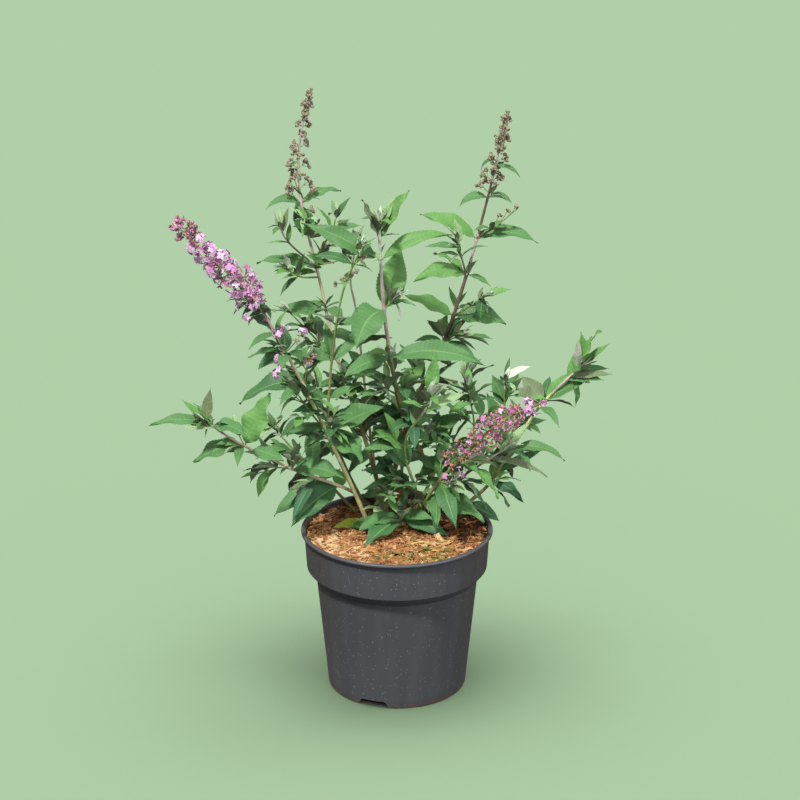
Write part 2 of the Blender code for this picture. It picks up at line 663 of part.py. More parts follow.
def wall_profile(inset, bottom, top):
    """The pot's side between two heights, moved in by the inset."""
    side = (
        (FOOT_RADIUS - inset, 0.0),
        (BODY_RADIUS - inset, BODY_TOP),
        (COLLAR_RADIUS - inset, COLLAR_FOOT),
        (COLLAR_TOP_RADIUS - inset, POT_HEIGHT - LIP_HEIGHT),
    )
    inner = [point for point in side if bottom < point[1] < top]
    return [(radius_at(side, bottom), bottom), *inner, (radius_at(side, top), top)]


def radius_at(profile, height):
    for (low_radius, low), (high_radius, high) in zip(profile, profile[1:]):
        if low <= height <= high:
            return low_radius + (high_radius - low_radius) * (height - low) / (high - low)
    raise ValueError(f"no wall at {height} mm")


def build_pot(material):
    lip_foot = POT_HEIGHT - LIP_HEIGHT
    foot_ring = NOTCH_HEIGHT + 4
    outside = wall_profile(0.0, FOOT_EDGE, foot_ring) + wall_profile(0.0, foot_ring, lip_foot)[1:]
    lip = [
        (LIP_RADIUS - 0.6, lip_foot + 0.4),
        (LIP_RADIUS, lip_foot + LIP_HEIGHT / 2),
        (LIP_RADIUS - 0.7, POT_HEIGHT),
        (LIP_RADIUS - 2.6, POT_HEIGHT),
    ]
    inside = wall_profile(POT_WALL, FLOOR, lip_foot)
    profile = [(0.0, 0.0), (FOOT_RADIUS - FOOT_EDGE, 0.0), *outside, *lip, *reversed(inside), (0.0, FLOOR)]
    pot = add_object("pot", lathe(profile, POT_STEPS), material)
    for i, angle in enumerate(NOTCH_ANGLES):
        cut = pot.modifiers.new(f"notch_{i}", "BOOLEAN")
        cut.operation = "DIFFERENCE"
        cut.object = notch_cutter(f"notch_cutter_{i}", math.radians(angle))
    return pot


def notch_cutter(name, angle):
    """A block with sloped sides, wider at the ground, set through the wall at the foot."""
    bm = bmesh.new()
    bmesh.ops.create_cube(bm, size=1.0)
    bmesh.ops.scale(bm, vec=(14 * MM, NOTCH_WIDTH * MM, (NOTCH_HEIGHT + 2) * MM), verts=bm.verts)
    bmesh.ops.scale(bm, vec=(1.0, 0.62, 1.0), verts=[vert for vert in bm.verts if vert.co.z > 0])
    place = Vector(((FOOT_RADIUS + 1) * MM, 0.0, (NOTCH_HEIGHT - 2) / 2 * MM))
    bmesh.ops.translate(bm, vec=place, verts=bm.verts)
    bmesh.ops.rotate(bm, cent=(0, 0, 0), matrix=Matrix.Rotation(angle, 3, "Z"), verts=bm.verts)
    cutter = add_object(name, bm)
    cutter.hide_render = True
    cutter.display_type = "WIRE"
    return cutter


def build_soil(material):
    side = wall_profile(POT_WALL + GAP + 0.1, FLOOR + GAP, SOIL_EDGE)
    profile = [(0.0, FLOOR + GAP), *side, (SOIL_FLAT_RADIUS, SOIL_TOP), (0.0, SOIL_TOP)]
    return add_object("soil", lathe(profile, POT_STEPS // 2), material)


def build_stool(material):
    """The short old trunk: a flat cut at the soil, a root flare, a lean, and a sawn top."""
    place = Vector((*STOOL_PLACE, SOIL_TOP + GAP)) * MM
    lean = Vector((*STOOL_LEAN, STOOL_HEIGHT)) * MM
    stations = []
    for f, radius in ((0.0, STOOL_FLARE), (0.12, STOOL_RADIUS * 1.3), (0.35, STOOL_RADIUS * 1.05),
                      (0.75, STOOL_RADIUS * 0.95), (1.0, STOOL_RADIUS)):
        size = Matrix.Diagonal((radius * MM, radius * MM, radius * MM, 1.0))
        stations.append(Matrix.Translation(place + lean * f) @ size)
    return add_object("old_stool", loft(stations, 12), material)


def build_plant(stems, leaves, spikes, materials):
    """Joins each piece of stem with its leaves, flowers and buds, and adds it as one node."""
    parts = {}
    for stem in stems.values():
        for name, start, end in stem.stretches():
            bare = stem.parent is None and start == 0.0
            sides = 8 if bare else 4 if stem.parent is None else 3
            parts.setdefault(name, []).append(loft(stem.stations(start, end), sides))
    for leaf in leaves:
        parts[leaf.node].append(leaf_mesh(leaf))
    for node, bm in spikes:
        parts[node].append(bm)
    for name, meshes in parts.items():
        kind = "flowers" if name.endswith("flower_spike") else "buds" if name.endswith("bud_spike") else (
            "bark" if name.endswith("cane") else "leaves")
        fuse(name, meshes, materials[kind])


def spike_parts(stems, rng):
    """The flower and bud spikes' own solids: (node, mesh)."""
    parts = []
    for name, start, widest, peak in FLOWER_SPIKES:
        for node, place, radius in flower_balls(stems[name], start * MM, widest, peak, rng):
            parts.append((node, ball(place, radius, rng.uniform(0, 2))))
    for name, start, longest in BUD_SPIKES:
        for node, foot, place, radius in bud_knots(stems[name], start * MM, longest, rng):
            parts.append((node, knot(foot, place, radius)))
    return parts


def clear_scene():
    for obj in list(bpy.data.objects):
        bpy.data.objects.remove(obj, do_unlink=True)


def main():
    clear_scene()
    rng = random.Random(SEED)
    materials = {
        "pot": plain_material("anthracite_plastic", (0.055, 0.056, 0.065), 0.55),
        "soil": plain_material("wood_fibre_mulch", (0.36, 0.17, 0.07), 0.95),
        "bark": plain_material("cane_bark", (0.30, 0.24, 0.13), 0.8),
        "leaves": plain_material("green_leaves", (0.12, 0.30, 0.07), 0.6),
        "flowers": plain_material("pink_flowers", (0.62, 0.30, 0.58), 0.6),
        "buds": plain_material("brown_buds", (0.30, 0.22, 0.16), 0.8),
    }
    pot = build_pot(materials["pot"])
    soil = build_soil(materials["soil"])
    stool = build_stool(materials["bark"])
    stems = grow_stems(rng)
    spikes = spike_parts(stems, rng)
    walls = [bm for _, bm in spikes]
    solid = []
    for obj in (pot, soil, stool):
        bm = bmesh.new()
        bm.from_mesh(obj.data)
        solid.append(bm)
    leaves = place_leaves(stems, solid + walls, rng)
    for bm in solid:
        bm.free()
    build_plant(stems, leaves, spikes, materials)


if __name__ == "__main__":
    main()
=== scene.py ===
"""Looks of the potted butterfly bush, built round the packed frame.

The growth rule of the packed solids is written again here with the same tables and the same draws, so
every cane, twig and leaf stands where its solid stands. Each is then made finer: toothed, veined blades,
ridged stems, single florets and buds, a bed of wood fibre mulch and a moulded pot.
Lengths in the tables are millimetres; meshes are built in metres, with +Z up.
"""

import json
import math
import random
from collections import namedtuple

import bmesh
import bpy
import numpy as np
from bpy.props import FloatProperty, FloatVectorProperty, IntProperty, PointerProperty
from mathutils import Matrix, Vector, noise
from mathutils.bvhtree import BVHTree

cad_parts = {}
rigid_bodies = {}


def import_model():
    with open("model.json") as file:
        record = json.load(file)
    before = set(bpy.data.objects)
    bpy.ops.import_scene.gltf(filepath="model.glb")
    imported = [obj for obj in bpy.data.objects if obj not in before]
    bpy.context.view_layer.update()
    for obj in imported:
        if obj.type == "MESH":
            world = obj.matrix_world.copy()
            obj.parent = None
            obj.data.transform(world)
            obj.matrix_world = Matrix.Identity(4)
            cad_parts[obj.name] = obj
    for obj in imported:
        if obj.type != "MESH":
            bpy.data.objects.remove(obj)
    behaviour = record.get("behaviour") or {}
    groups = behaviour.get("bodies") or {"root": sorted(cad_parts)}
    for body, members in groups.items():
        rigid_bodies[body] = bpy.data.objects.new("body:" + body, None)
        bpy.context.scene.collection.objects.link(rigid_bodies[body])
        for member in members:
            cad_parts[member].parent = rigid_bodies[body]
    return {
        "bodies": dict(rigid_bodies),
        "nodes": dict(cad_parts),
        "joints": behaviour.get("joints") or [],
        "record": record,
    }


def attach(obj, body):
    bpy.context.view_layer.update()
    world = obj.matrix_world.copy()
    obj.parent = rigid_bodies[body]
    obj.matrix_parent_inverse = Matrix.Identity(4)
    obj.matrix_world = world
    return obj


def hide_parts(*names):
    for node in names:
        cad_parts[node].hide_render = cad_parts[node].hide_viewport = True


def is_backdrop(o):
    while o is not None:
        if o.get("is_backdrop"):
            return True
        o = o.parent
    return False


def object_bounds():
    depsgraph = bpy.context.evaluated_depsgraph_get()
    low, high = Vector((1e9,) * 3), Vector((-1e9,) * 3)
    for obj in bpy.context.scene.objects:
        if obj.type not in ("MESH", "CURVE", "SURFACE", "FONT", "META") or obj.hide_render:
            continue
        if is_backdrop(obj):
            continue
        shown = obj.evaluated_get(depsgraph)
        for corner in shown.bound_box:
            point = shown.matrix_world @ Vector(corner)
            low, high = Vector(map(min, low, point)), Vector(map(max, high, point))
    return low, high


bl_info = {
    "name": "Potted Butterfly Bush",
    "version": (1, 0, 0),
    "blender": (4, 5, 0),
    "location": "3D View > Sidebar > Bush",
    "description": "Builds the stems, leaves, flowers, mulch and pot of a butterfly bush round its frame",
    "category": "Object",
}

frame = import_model()
CAD_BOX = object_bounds()

MM = 0.001
GAP = 0.3  # clearance between neighbouring solids
SEED = 11  # the source's own draws
FINE_SEED = 29  # draws for what only this script makes



# The pot and the soil, as the solids have them.
POT_WALL = 1.6
FLOOR = 2.2
FOOT_RADIUS = 78.5
BODY_RADIUS = 91.2
BODY_TOP = 130.0
COLLAR_FOOT = 143.5
COLLAR_RADIUS = 101.8
NOTCH_WIDTH = 40.0
NOTCH_HEIGHT = 8.0
NOTCH_ANGLES = (-110.0, 10.0, 130.0)

# The root ball fills the pot to just under its lip.
SOIL_TOP = 178.0
SOIL_EDGE = 172.5

# The old woody stool that the canes rise round.
STOOL_PLACE = (-5.0, 63.0)
STOOL_LEAN = (9.0, 5.0)
STOOL_HEIGHT = 38.0
STOOL_FLARE = 13.0
STOOL_RADIUS = 7.5

LEAF_BREADTH = 0.25  # blade width over length
LEAF_KEEL = 0.02  # depth of the keel over length
PETIOLE = 0.5  # half-width of a leaf's foot over the radius of its stem
LEAF_STATIONS = ((0.36, 1.0, 1.0), (0.72, 0.66, 0.6))  # place along the blade, breadth, keel
SHORT_LEAF = 42.0  # up to this length a blade has a single station
SHORT_STATIONS = ((0.42, 1.0, 1.0),)
SET_FACING = 34.0  # how far a set leaf's upper side rolls to the front
ROLL = 30.0
ROOM = 0.5  # clearance that a leaf keeps on each side
STEM_STEP = 24.0

# A shoot: its name, the shoot that it grows on and how far along, its route, its girth at foot and
# tip, the pieces that it is cut into (start, name), its leaf nodes, the turn of the first pair, the
# longest leaf, the angle off the stem, and how far a leaf bends down.
Shoot = namedtuple("Shoot", "name on at route girth pieces nodes turn leaf spread droop")


def cane(name, route, girth, cuts, nodes, turn, leaf, spread, droop):
    """A cane from the soil. Its cuts say where each piece above the bare cane starts, and what it is."""
    above = [(at, part if part.endswith("spike") else f"{name}_{part}") for at, part in cuts]
    return Shoot(name, None, 0, route, girth, ((0, name + "_cane"), *above), nodes, turn, leaf, spread, droop)


def side_shoot(name, on, at, route, nodes, turn, leaf, spread, droop, girth=(2.2, 1.6)):
    return Shoot(name, on, at, route, girth, (), nodes, turn, leaf, spread, droop)


CANES = (
    cane("left_flowering", ((-29, 14, 178), (-54, 0, 245), (-101, -25, 364), (-150, -45, 467),
         (-191, -55, 514), (-235, -60, 559)), (5.0, 2.2), ((124, "foliage"), (313, "left_flower_spike")),
         (132, 138, 204, 246, 276, 303), 40, 46, 60, 45),
    cane("tall_left", ((-10, 40, 178), (-36, 42, 277), (-66, 40, 373), (-84, 43, 459), (-105, 50, 555),
         (-105, 50, 618), (-92, 50, 676)), (5.4, 1.6), ((96, "lower_foliage"), (236, "upper_foliage"),
         (392, "left_bud_spike")), (112, 160, 204, 262, 310, 348, 384), 30, 62, 58, 50),
    cane("tall_centre", ((57, 67, 178), (28, 38, 260), (5, 18, 321), (-12, -6, 428), (-18, -18, 520),
         (-18, -20, 552)), (7.0, 2.6), ((86, "lower_foliage"), (258, "top_foliage")),
         (98, 136, 182, 230, 290, 348, 374, 392), 20, 74, 58, 45),
    cane("tall_right", ((-15, 85, 178), (18, 62, 307), (52, 60, 386), (77, 65, 463), (103, 70, 564),
         (120, 70, 646)), (6.4, 1.6), ((122, "lower_foliage"), (276, "upper_foliage"),
         (404, "right_bud_spike")), (136, 170, 196, 222, 255, 303, 346, 394), 60, 66, 58, 50),
    cane("low_left", ((-27, 67, 178), (-51, 15, 225), (-116, -20, 266), (-175, -38, 305),
         (-210, -45, 333)), (4.4, 2.2), ((84, "foliage"), (190, "tip_foliage")),
         (96, 128, 159, 222, 266, 274), 0, 60, 58, 45),
    cane("low_right", ((64, 56, 178), (88, 60, 198), (106, 60, 217), (130, 52, 262), (164, 42, 321),
         (216, 30, 380)), (4.4, 2.2), ((42, "foliage"), (150, "tip_foliage")), (60, 104, 173, 218, 246),
         90, 62, 58, 45),
    cane("right_flowering", ((8, 44, 178), (24, 10, 205), (47, -10, 247), (91, -36, 307), (117, -47, 334),
         (158, -60, 359)), (5.0, 2.2), ((54, "foliage"), (148, "right_flower_spike")), (64, 98, 132), 0,
         66, 60, 50),
    cane("thin_right", ((28, 36, 178), (34, 14, 214), (58, -4, 240), (102, -18, 277), (124, -22, 293)),
         (3.6, 2.0), ((46, "foliage"),), (62, 92, 140, 168), 60, 54, 60, 45),
    cane("young_front", ((20, 63, 178), (22, 34, 216), (10, -2, 270), (11, -15, 303), (30, -30, 338),
         (38, -36, 362)), (3.8, 2.0), ((50, "foliage"),), (64, 98, 134, 166, 194, 212), 0, 56, 58, 45),
    cane("slender_back", ((-17, 42, 178), (-31, 76, 274), (-45, 85, 408), (-52, 85, 453), (-44, 80, 500)),
         (3.8, 1.8), ((72, "foliage"),), (92, 130, 168, 206, 318, 336), 45, 56, 58, 45),
    cane("short_front", ((3, 20, 178), (4, 10, 189), (4, 2, 202)), (3.4, 2.2), ((13, "foliage"),),
         (22, 28), 20, 60, 80, 30),
    cane("little_front", ((-12, 22, 178), (-10, 12, 196), (-14, 6, 222)), (3.0, 1.8), ((13, "foliage"),),
         (24, 38, 46), 30, 40, 62, 40),
    cane("back_left", ((-36, 78, 178), (-62, 104, 224), (-84, 120, 280), (-96, 128, 320)), (4.2, 2.0),
         ((36, "foliage"),), (46, 76, 106, 134, 152), 10, 66, 60, 50),
    cane("back_middle", ((3, 90, 178), (6, 116, 232), (2, 132, 290), (-6, 138, 340)), (4.2, 2.0),
         ((36, "foliage"),), (46, 78, 110, 140, 164), 50, 66, 60, 50),
    cane("back_right", ((25, 86, 178), (48, 108, 222), (70, 124, 280), (84, 130, 330)), (4.2, 2.0),
         ((36, "foliage"),), (46, 78, 108, 138, 158), 80, 66, 60, 50),
    cane("far_left", ((-44, 58, 178), (-84, 84, 212), (-126, 112, 244), (-146, 124, 268)), (3.8, 2.0),
         ((38, "foliage"),), (48, 78, 108, 134, 144), 40, 62, 60, 45),
    cane("far_right", ((46, 79, 178), (76, 98, 208), (112, 118, 238), (150, 134, 270)), (3.8, 2.0),
         ((38, "foliage"),), (48, 78, 106, 130, 142), 0, 62, 60, 45),
)

SIDE_SHOOTS = (
    side_shoot("green_side", "left_flowering", 140, ((-71, -14, 389), (-59, -18, 466), (-37, -22, 523)),
               (40, 84, 126, 176, 198, 214), 0, 46, 60, 40, (3.0, 1.8)),
    side_shoot("left_inner", "left_flowering", 142, ((-95, -20, 333), (-114, -30, 367)), (26, 44), 60, 34,
               55, 40),
    side_shoot("left_low", "tall_left", 200, ((-97, 32, 408), (-122, 24, 438)), (30, 52), 50, 40, 55, 40),
    side_shoot("left_mid", "tall_left", 300, ((-106, 32, 472), (-123, 24, 486)), (26, 40), 50, 34, 55,
               40),
    side_shoot("left_high", "tall_left", 312, ((-121, 34, 514), (-129, 32, 543)), (44, 62), 20, 26, 40,
               20),
    side_shoot("left_back", "tall_left", 320, ((-70, 42, 524), (-66, 42, 545)), (40, 56), 10, 38, 40, 25),
    side_shoot("left_right", "tall_left", 314, ((-65, 36, 489), (-50, 34, 502)), (36, 46), 30, 34, 45,
               25),
    side_shoot("right_inner", "tall_right", 303, ((71, 58, 488), (65, 52, 512)), (26, 40), 10, 34, 50,
               40),
    side_shoot("right_sprig", "tall_right", 348, ((105, 62, 518), (133, 56, 543)), (18,), 30, 22, 45, 20,
               (2.0, 1.2)),
    side_shoot("right_outer", "tall_right", 256, ((77, 52, 429), (98, 46, 447)), (26, 38), 20, 28, 50,
               35),
    side_shoot("right_upright", "thin_right", 119, ((86, 12, 305), (82, 12, 332), (77, 10, 358)),
               (50, 74, 92), 20, 30, 48, 30, (2.4, 1.6)),
    side_shoot("right_low", "low_right", 106, ((122, 58, 312), (122, 60, 346)), (60, 78), 20, 32, 45, 25,
               (2.4, 1.6)),
)

# Leaves that stand out in the outline, by shoot: node, side, heading, rise, length, droop, breadth, and
# the tone, where it isn't the middle green. Bright tones add painted light, deep ones painted shade.
SET_ROWS = {
    "tall_centre": (
        (1, 1, 188, 38, 44, 50, 0.3, "deep"), (3, 0, -8, 24, 108, 50, 0.19), (3, 1, 205, 8, 62, 45, 0.3),
        (4, 0, 55, 64, 74, 12, 0.38, "bright"), (4, 1, 236, 14, 70, 80, 0.44),
        (5, 0, 4, 50, 86, 64, 0.17, "bright"), (5, 1, 188, 38, 96, 20, 0.2),
        (6, 0, 14, 68, 60, 22, 0.26, "bright"), (6, 1, 200, 68, 48, 2, 0.3, "grey"),
    ),
    "tall_left": (
        (3, 1, 182, 14, 56, 26, 0.27), (4, 0, 236, 48, 36, 30, 0.4, "bright"),
        (4, 1, 178, 30, 68, 46, 0.21), (5, 0, 295, 48, 38, 10, 0.48, "deep"),
        (5, 1, 120, 60, 42, 10, 0.45, "deep"), (6, 0, 18, 46, 50, 66, 0.22),
        (6, 1, 190, 40, 44, 92, 0.24),
    ),
    "tall_right": (
        (3, 0, 8, 42, 42, 10, 0.2), (3, 1, 186, 34, 34, 60, 0.24, "deep"), (4, 0, -14, 22, 62, 56, 0.34),
        (4, 1, 186, 38, 62, 24, 0.28, "bright"), (5, 1, 190, 34, 64, 76, 0.3, "bright"),
        (6, 0, -6, 32, 72, 70, 0.24), (6, 1, 175, 44, 70, 42, 0.25, "bright"),
        (7, 0, 0, 30, 30, 90, 0.24), (7, 1, 186, 26, 36, 84, 0.26),
    ),
    "left_flowering": (
        (0, 0, 312, 10, 62, 36, 0.46), (1, 0, -18, 40, 76, 18, 0.38),
        (1, 1, 186, 26, 52, 54, 0.24, "deep"), (3, 1, 196, 14, 38, 70, 0.34, "deep"),
    ),
    "green_side": (
        (0, 0, -8, 36, 34, 20, 0.3), (0, 1, 182, 32, 56, 24, 0.2), (1, 0, 12, 48, 40, 30, 0.3),
        (1, 1, 180, 32, 46, 40, 0.28), (4, 1, 178, 36, 46, 48, 0.2, "deep"),
    ),
    "low_left": (
        (0, 0, 200, 4, 64, 48, 0.32, "deep"), (0, 1, 226, -2, 76, 46, 0.3, "deep"),
        (2, 0, -14, 18, 62, 44, 0.38), (3, 0, 34, 60, 64, -4, 0.42, "bright"),
        (3, 1, 190, 8, 60, 48, 0.34), (4, 0, -20, 18, 46, 52, 0.4), (4, 1, 186, 28, 70, 54, 0.17),
        (5, 0, 60, 84, 38, 4, 0.28, "grey"), (5, 1, 172, 48, 36, 10, 0.22, "bright"),
    ),
    "low_right": (
        (1, 0, -10, 36, 70, 82, 0.18), (1, 1, 165, 74, 76, 6, 0.3), (2, 1, 196, 52, 38, 20, 0.56, "grey"),
        (3, 0, -10, 18, 42, 30, 0.26), (3, 1, 30, 64, 56, 10, 0.2, "bright"),
        (4, 0, 4, 46, 34, 10, 0.2, "bright"), (4, 1, 120, 80, 36, 4, 0.3, "bright"),
    ),
    "right_flowering": (
        (0, 0, -30, 20, 80, 52, 0.32), (2, 0, 4, 34, 50, 86, 0.3, "grey"),
    ),
    "thin_right": (
        (3, 0, 30, 46, 36, 10, 0.26, "young"),
    ),
    "young_front": (
        (0, 1, 188, 16, 60, 36, 0.26), (1, 1, 176, 54, 50, 10, 0.32),
        (4, 0, 0, 30, 50, 14, 0.24, "young"), (5, 0, 62, 80, 50, 2, 0.26, "bright"),
    ),
    "short_front": (
        (0, 0, 238, 10, 72, 40, 0.3, "deep"), (0, 1, -24, 6, 62, 34, 0.24, "deep"),
        (1, 0, 202, 8, 56, 36, 0.28), (1, 1, -4, 30, 42, 40, 0.3),
    ),
}
SET_LEAVES = {(shoot, *row[:2]): row[2:7] for shoot, rows in SET_ROWS.items() for row in rows}
LEAF_TONES = {(shoot, *row[:2]): (*row[7:], "mid")[0] for shoot, rows in SET_ROWS.items() for row in rows}
LEAF_TONES["right_flowering", 1, 1] = "deep"

# Short twigs in the leaf axils of the canes.
TWIG_CHANCE = 0.3
TWIG_SPAN = (0.2, 0.8)  # the stretch of a cane that bears them
TWIG_LENGTH = (20.0, 34.0)
TWIG_GIRTH = (2.0, 1.4)
TWIG_LEAF = 32.0

# How a leaf with no room may move: degrees of heading and of rise.
SWAYS = ((0, 0), (12, 6), (-12, 6), (24, -6), (-24, -6), (0, 18), (34, 10), (-34, 10))

# Flower spikes: the shoot, where the flowers begin, the widest half-width, and where it is widest.
FLOWER_SPIKES = (("left_flowering", 318, 18.0, 0.25), ("right_flowering", 160, 17.0, 0.35))
FLOWER_STEP = 15.5
FLOWERS_AROUND = 3
# Bud spikes: the shoot, where the buds begin, and the longest stalk.
BUD_SPIKES = (("tall_left", 398, 9.0), ("tall_right", 410, 8.0))
BUD_STEP = 11.5
STALK_RADIUS = 0.8


class Route:
    """A smooth curve through a few points, read by the distance along it."""

    SAMPLES = 10

    def __init__(self, points):
        points = [Vector(point) * MM for point in points]
        points = [2 * points[0] - points[1], *points, 2 * points[-1] - points[-2]]
        self.points = []
        for before, start, end, after in zip(points, points[1:], points[2:], points[3:]):
            for i in range(self.SAMPLES):
                t = i / self.SAMPLES
                bend = (2 * before - 5 * start + 4 * end - after) * t * t
                rush = (3 * start - before - 3 * end + after) * t * t * t
                self.points.append(0.5 * (2 * start + (end - before) * t + bend + rush))
        self.points.append(points[-2])
        self.distances = [0.0]
        for start, end in zip(self.points, self.points[1:]):
            self.distances.append(self.distances[-1] + (end - start).length)
        self.length = self.distances[-1]

    def point(self, distance):
        distance = min(max(distance, 0.0), self.length)
        for i, reached in enumerate(self.distances[1:]):
            if distance <= reached:
                span = reached - self.distances[i]
                return self.points[i].lerp(self.points[i + 1], (distance - self.distances[i]) / span)
        return self.points[-1].copy()

    def direction(self, distance):
        ahead = self.point(distance + 2 * MM)
        behind = self.point(distance - 2 * MM)
        return (ahead - behind).normalized()


class Stem:
    """A grown shoot: its route, its girth along it, and the node that each stretch belongs to."""

    def __init__(self, shoot, parent):
        points = shoot.route
        self.pieces = [(start * MM, name) for start, name in shoot.pieces]
        if parent:
            root = parent.route.point(shoot.at * MM)
            points = (tuple(root / MM), *points)
            self.pieces = [(0.0, parent.piece_at(shoot.at * MM))]
        self.shoot = shoot
        self.parent = parent
        self.route = Route(points)

    def radius(self, distance):
        foot, tip = self.shoot.girth
        return (foot + (tip - foot) * distance / self.route.length) / 2 * MM

    def piece_at(self, distance):
        return [name for start, name in self.pieces if start <= distance][-1]

    def stretches(self):
        """(name, start, end) of each piece, with the gap left open between neighbours."""
        half = GAP / 2 * MM
        for i, (start, name) in enumerate(self.pieces):
            last = i + 1 == len(self.pieces)
            end = self.route.length if last else self.pieces[i + 1][0] - half
            yield name, start + (half if i else 0.0), end

    def stations(self, start, end, step=STEM_STEP * MM):
        """Matrices of unit rings along the stretch. A stretch from the soil starts level and flared."""
        from_soil = self.parent is None and start == 0.0
        count = max(2, round((end - start) / step) + 1)
        places = [start + (end - start) * i / (count - 1) for i in range(count)]
        if from_soil:
            places.insert(1, 7 * MM)
        matrices = []
        frame = Matrix.Identity(3)
        upright = Vector((0.0, 0.0, 1.0))
        heading = upright
        for place in places:
            onward = upright if from_soil and place == 0.0 else self.route.direction(place)
            frame = heading.rotation_difference(onward).to_matrix() @ frame
            heading = onward
            radius = self.radius(place) * (1.3 if from_soil and place == 0.0 else 1.0)
            scale = Matrix.Diagonal((radius, radius, radius, 1.0))
            point = self.route.point(place)
            if from_soil and place == 0.0:
                point.z = (SOIL_TOP + GAP) * MM
            matrices.append(Matrix.Translation(point) @ frame.to_4x4() @ scale)
        return matrices


Leaf = namedtuple("Leaf", "node root heading rise length droop breadth roll petiole")


def loft(stations, sides, to_point=False):
    """A closed skin through rings of the given number of sides, placed by the stations' matrices."""
    bm = bmesh.new()
    bmesh.ops.create_circle(bm, cap_ends=True, radius=1.0, segments=sides, matrix=stations[0])
    cap = list(bm.faces)[0]
    ring = list(bm.verts)
    here = stations[0]
    for i, there in enumerate(stations[1:]):
        made = bmesh.ops.extrude_face_region(bm, geom=[cap])["geom"]
        if i:
            bmesh.ops.delete(bm, geom=[cap], context="FACES_ONLY")
        ring = [part for part in made if isinstance(part, bmesh.types.BMVert)]
        cap = next(part for part in made if isinstance(part, bmesh.types.BMFace))
        bmesh.ops.transform(bm, matrix=there @ here.inverted(), verts=ring)
        here = there
    if to_point:
        bmesh.ops.pointmerge(bm, verts=ring, merge_co=stations[-1].translation)
    bmesh.ops.recalc_face_normals(bm, faces=bm.faces)
    return bm


def level_at(heading):
    """The level direction of a heading in degrees."""
    heading = math.radians(heading)
    return Vector((math.cos(heading), math.sin(heading), 0.0))


def angles_of(aim):
    """The heading and the rise of a direction, in degrees."""
    rise = math.degrees(math.asin(max(-1.0, min(1.0, aim.z))))
    return math.degrees(math.atan2(aim.y, aim.x)), rise


def leaf_frame(leaf, s):
    """The blade's place at s, from 0 at its root to 1 at its tip: point, side, up and onward."""
    level = level_at(leaf.heading)
    point = leaf.root.copy()
    steps = 12
    for i in range(round(steps * s)):
        rise = math.radians(leaf.rise - leaf.droop * (i + 0.5) / steps)
        point += (level * math.cos(rise) + Vector((0, 0, math.sin(rise)))) * leaf.length / steps * MM
    rise = math.radians(leaf.rise - leaf.droop * s)
    onward = level * math.cos(rise) + Vector((0, 0, math.sin(rise)))
    up = Vector((0, 0, math.cos(rise))) - level * math.sin(rise)
    up.rotate(Matrix.Rotation(math.radians(leaf.roll), 3, onward))
    return point, onward.cross(up), up, onward


def leaf_station(leaf, s, half_width, keel):
    """A matrix that sets a unit triangle across the blade: a flat top, with the keel under it."""
    point, side, up, onward = leaf_frame(leaf, s)
    turn = Matrix((side, -up, onward)).transposed().to_4x4()
    size = Matrix.Diagonal((half_width / math.cos(math.radians(30)), keel / 1.5, keel, 1.0))
    return Matrix.Translation(point) @ turn @ size


def leaf_mesh(leaf, room=0.0, first=0.0):
    """The blade as a closed solid from `first` on, thickened all round by the room."""
    half = leaf.length * leaf.breadth / 2
    keel = max(LEAF_KEEL * leaf.length, 0.9)
    root_half = leaf.petiole + (half - leaf.petiole) * first / LEAF_STATIONS[0][0]
    stations = [leaf_station(leaf, first, (root_half + room) * MM, (leaf.petiole * 1.5 + 2 * room) * MM)]
    for s, width, depth in SHORT_STATIONS if leaf.length < SHORT_LEAF else LEAF_STATIONS:
        stations.append(leaf_station(leaf, s, (half * width + room) * MM, (keel * depth + 2 * room) * MM))
    stations.append(leaf_station(leaf, 1.0, MM, MM))
    return loft(stations, 3, to_point=True)


def aim_from(onward, turn, spread):
    """The direction that leaves a stem at the angle `spread`, turned round it from the +X side."""
    across = Vector((1, 0, 0)) - onward * onward.x
    across.normalize()
    beyond = onward.cross(across)
    out = across * math.cos(math.radians(turn)) + beyond * math.sin(math.radians(turn))
    return onward * math.cos(math.radians(spread)) + out * math.sin(math.radians(spread))


def stem_tree(stem, start, end):
    bm = loft(stem.stations(start, end), 8)
    tree = BVHTree.FromBMesh(bm)
    bm.free()
    return tree


def grow_stems(rng):
    """Every shoot, and the short twigs that a seeded rule sets in the axils of the canes."""
    stems = {}
    for shoot in CANES + SIDE_SHOOTS:
        stems[shoot.name] = Stem(shoot, stems.get(shoot.on))
    walls = [(stem, stem_tree(stem, 0.0, stem.route.length)) for stem in stems.values()]
    for cane in CANES:
        parent = stems[cane.name]
        for k, node in enumerate(cane.nodes):
            turn = cane.turn + 90 * k + rng.choice((0, 180)) + rng.uniform(-20, 20)
            length = rng.uniform(*TWIG_LENGTH)
            fraction = node * MM / parent.route.length
            if rng.random() > TWIG_CHANCE or not TWIG_SPAN[0] < fraction < TWIG_SPAN[1]:
                continue
            aim = aim_from(parent.route.direction(node * MM), turn, 42)
            tip = parent.route.point(node * MM) / MM + aim * length
            twig = Stem(Shoot(f"{cane.name}_twig_{k}", cane.name, node, (tuple(tip),), TWIG_GIRTH, (),
                              (length * 0.6, length), turn, TWIG_LEAF, 52, 35), parent)
            tree = stem_tree(twig, 5 * MM, twig.route.length)
            if not any(tree.overlap(wall) for owner, wall in walls if owner is not parent):
                stems[twig.shoot.name] = twig
                walls.append((twig, tree))
    return stems


def size_along(fraction):
    """How a leaf's length changes up a shoot: full below the middle, short at the tip."""
    return 1.0 - 0.6 * max(0.0, (fraction - 0.45) / 0.55) ** 1.3


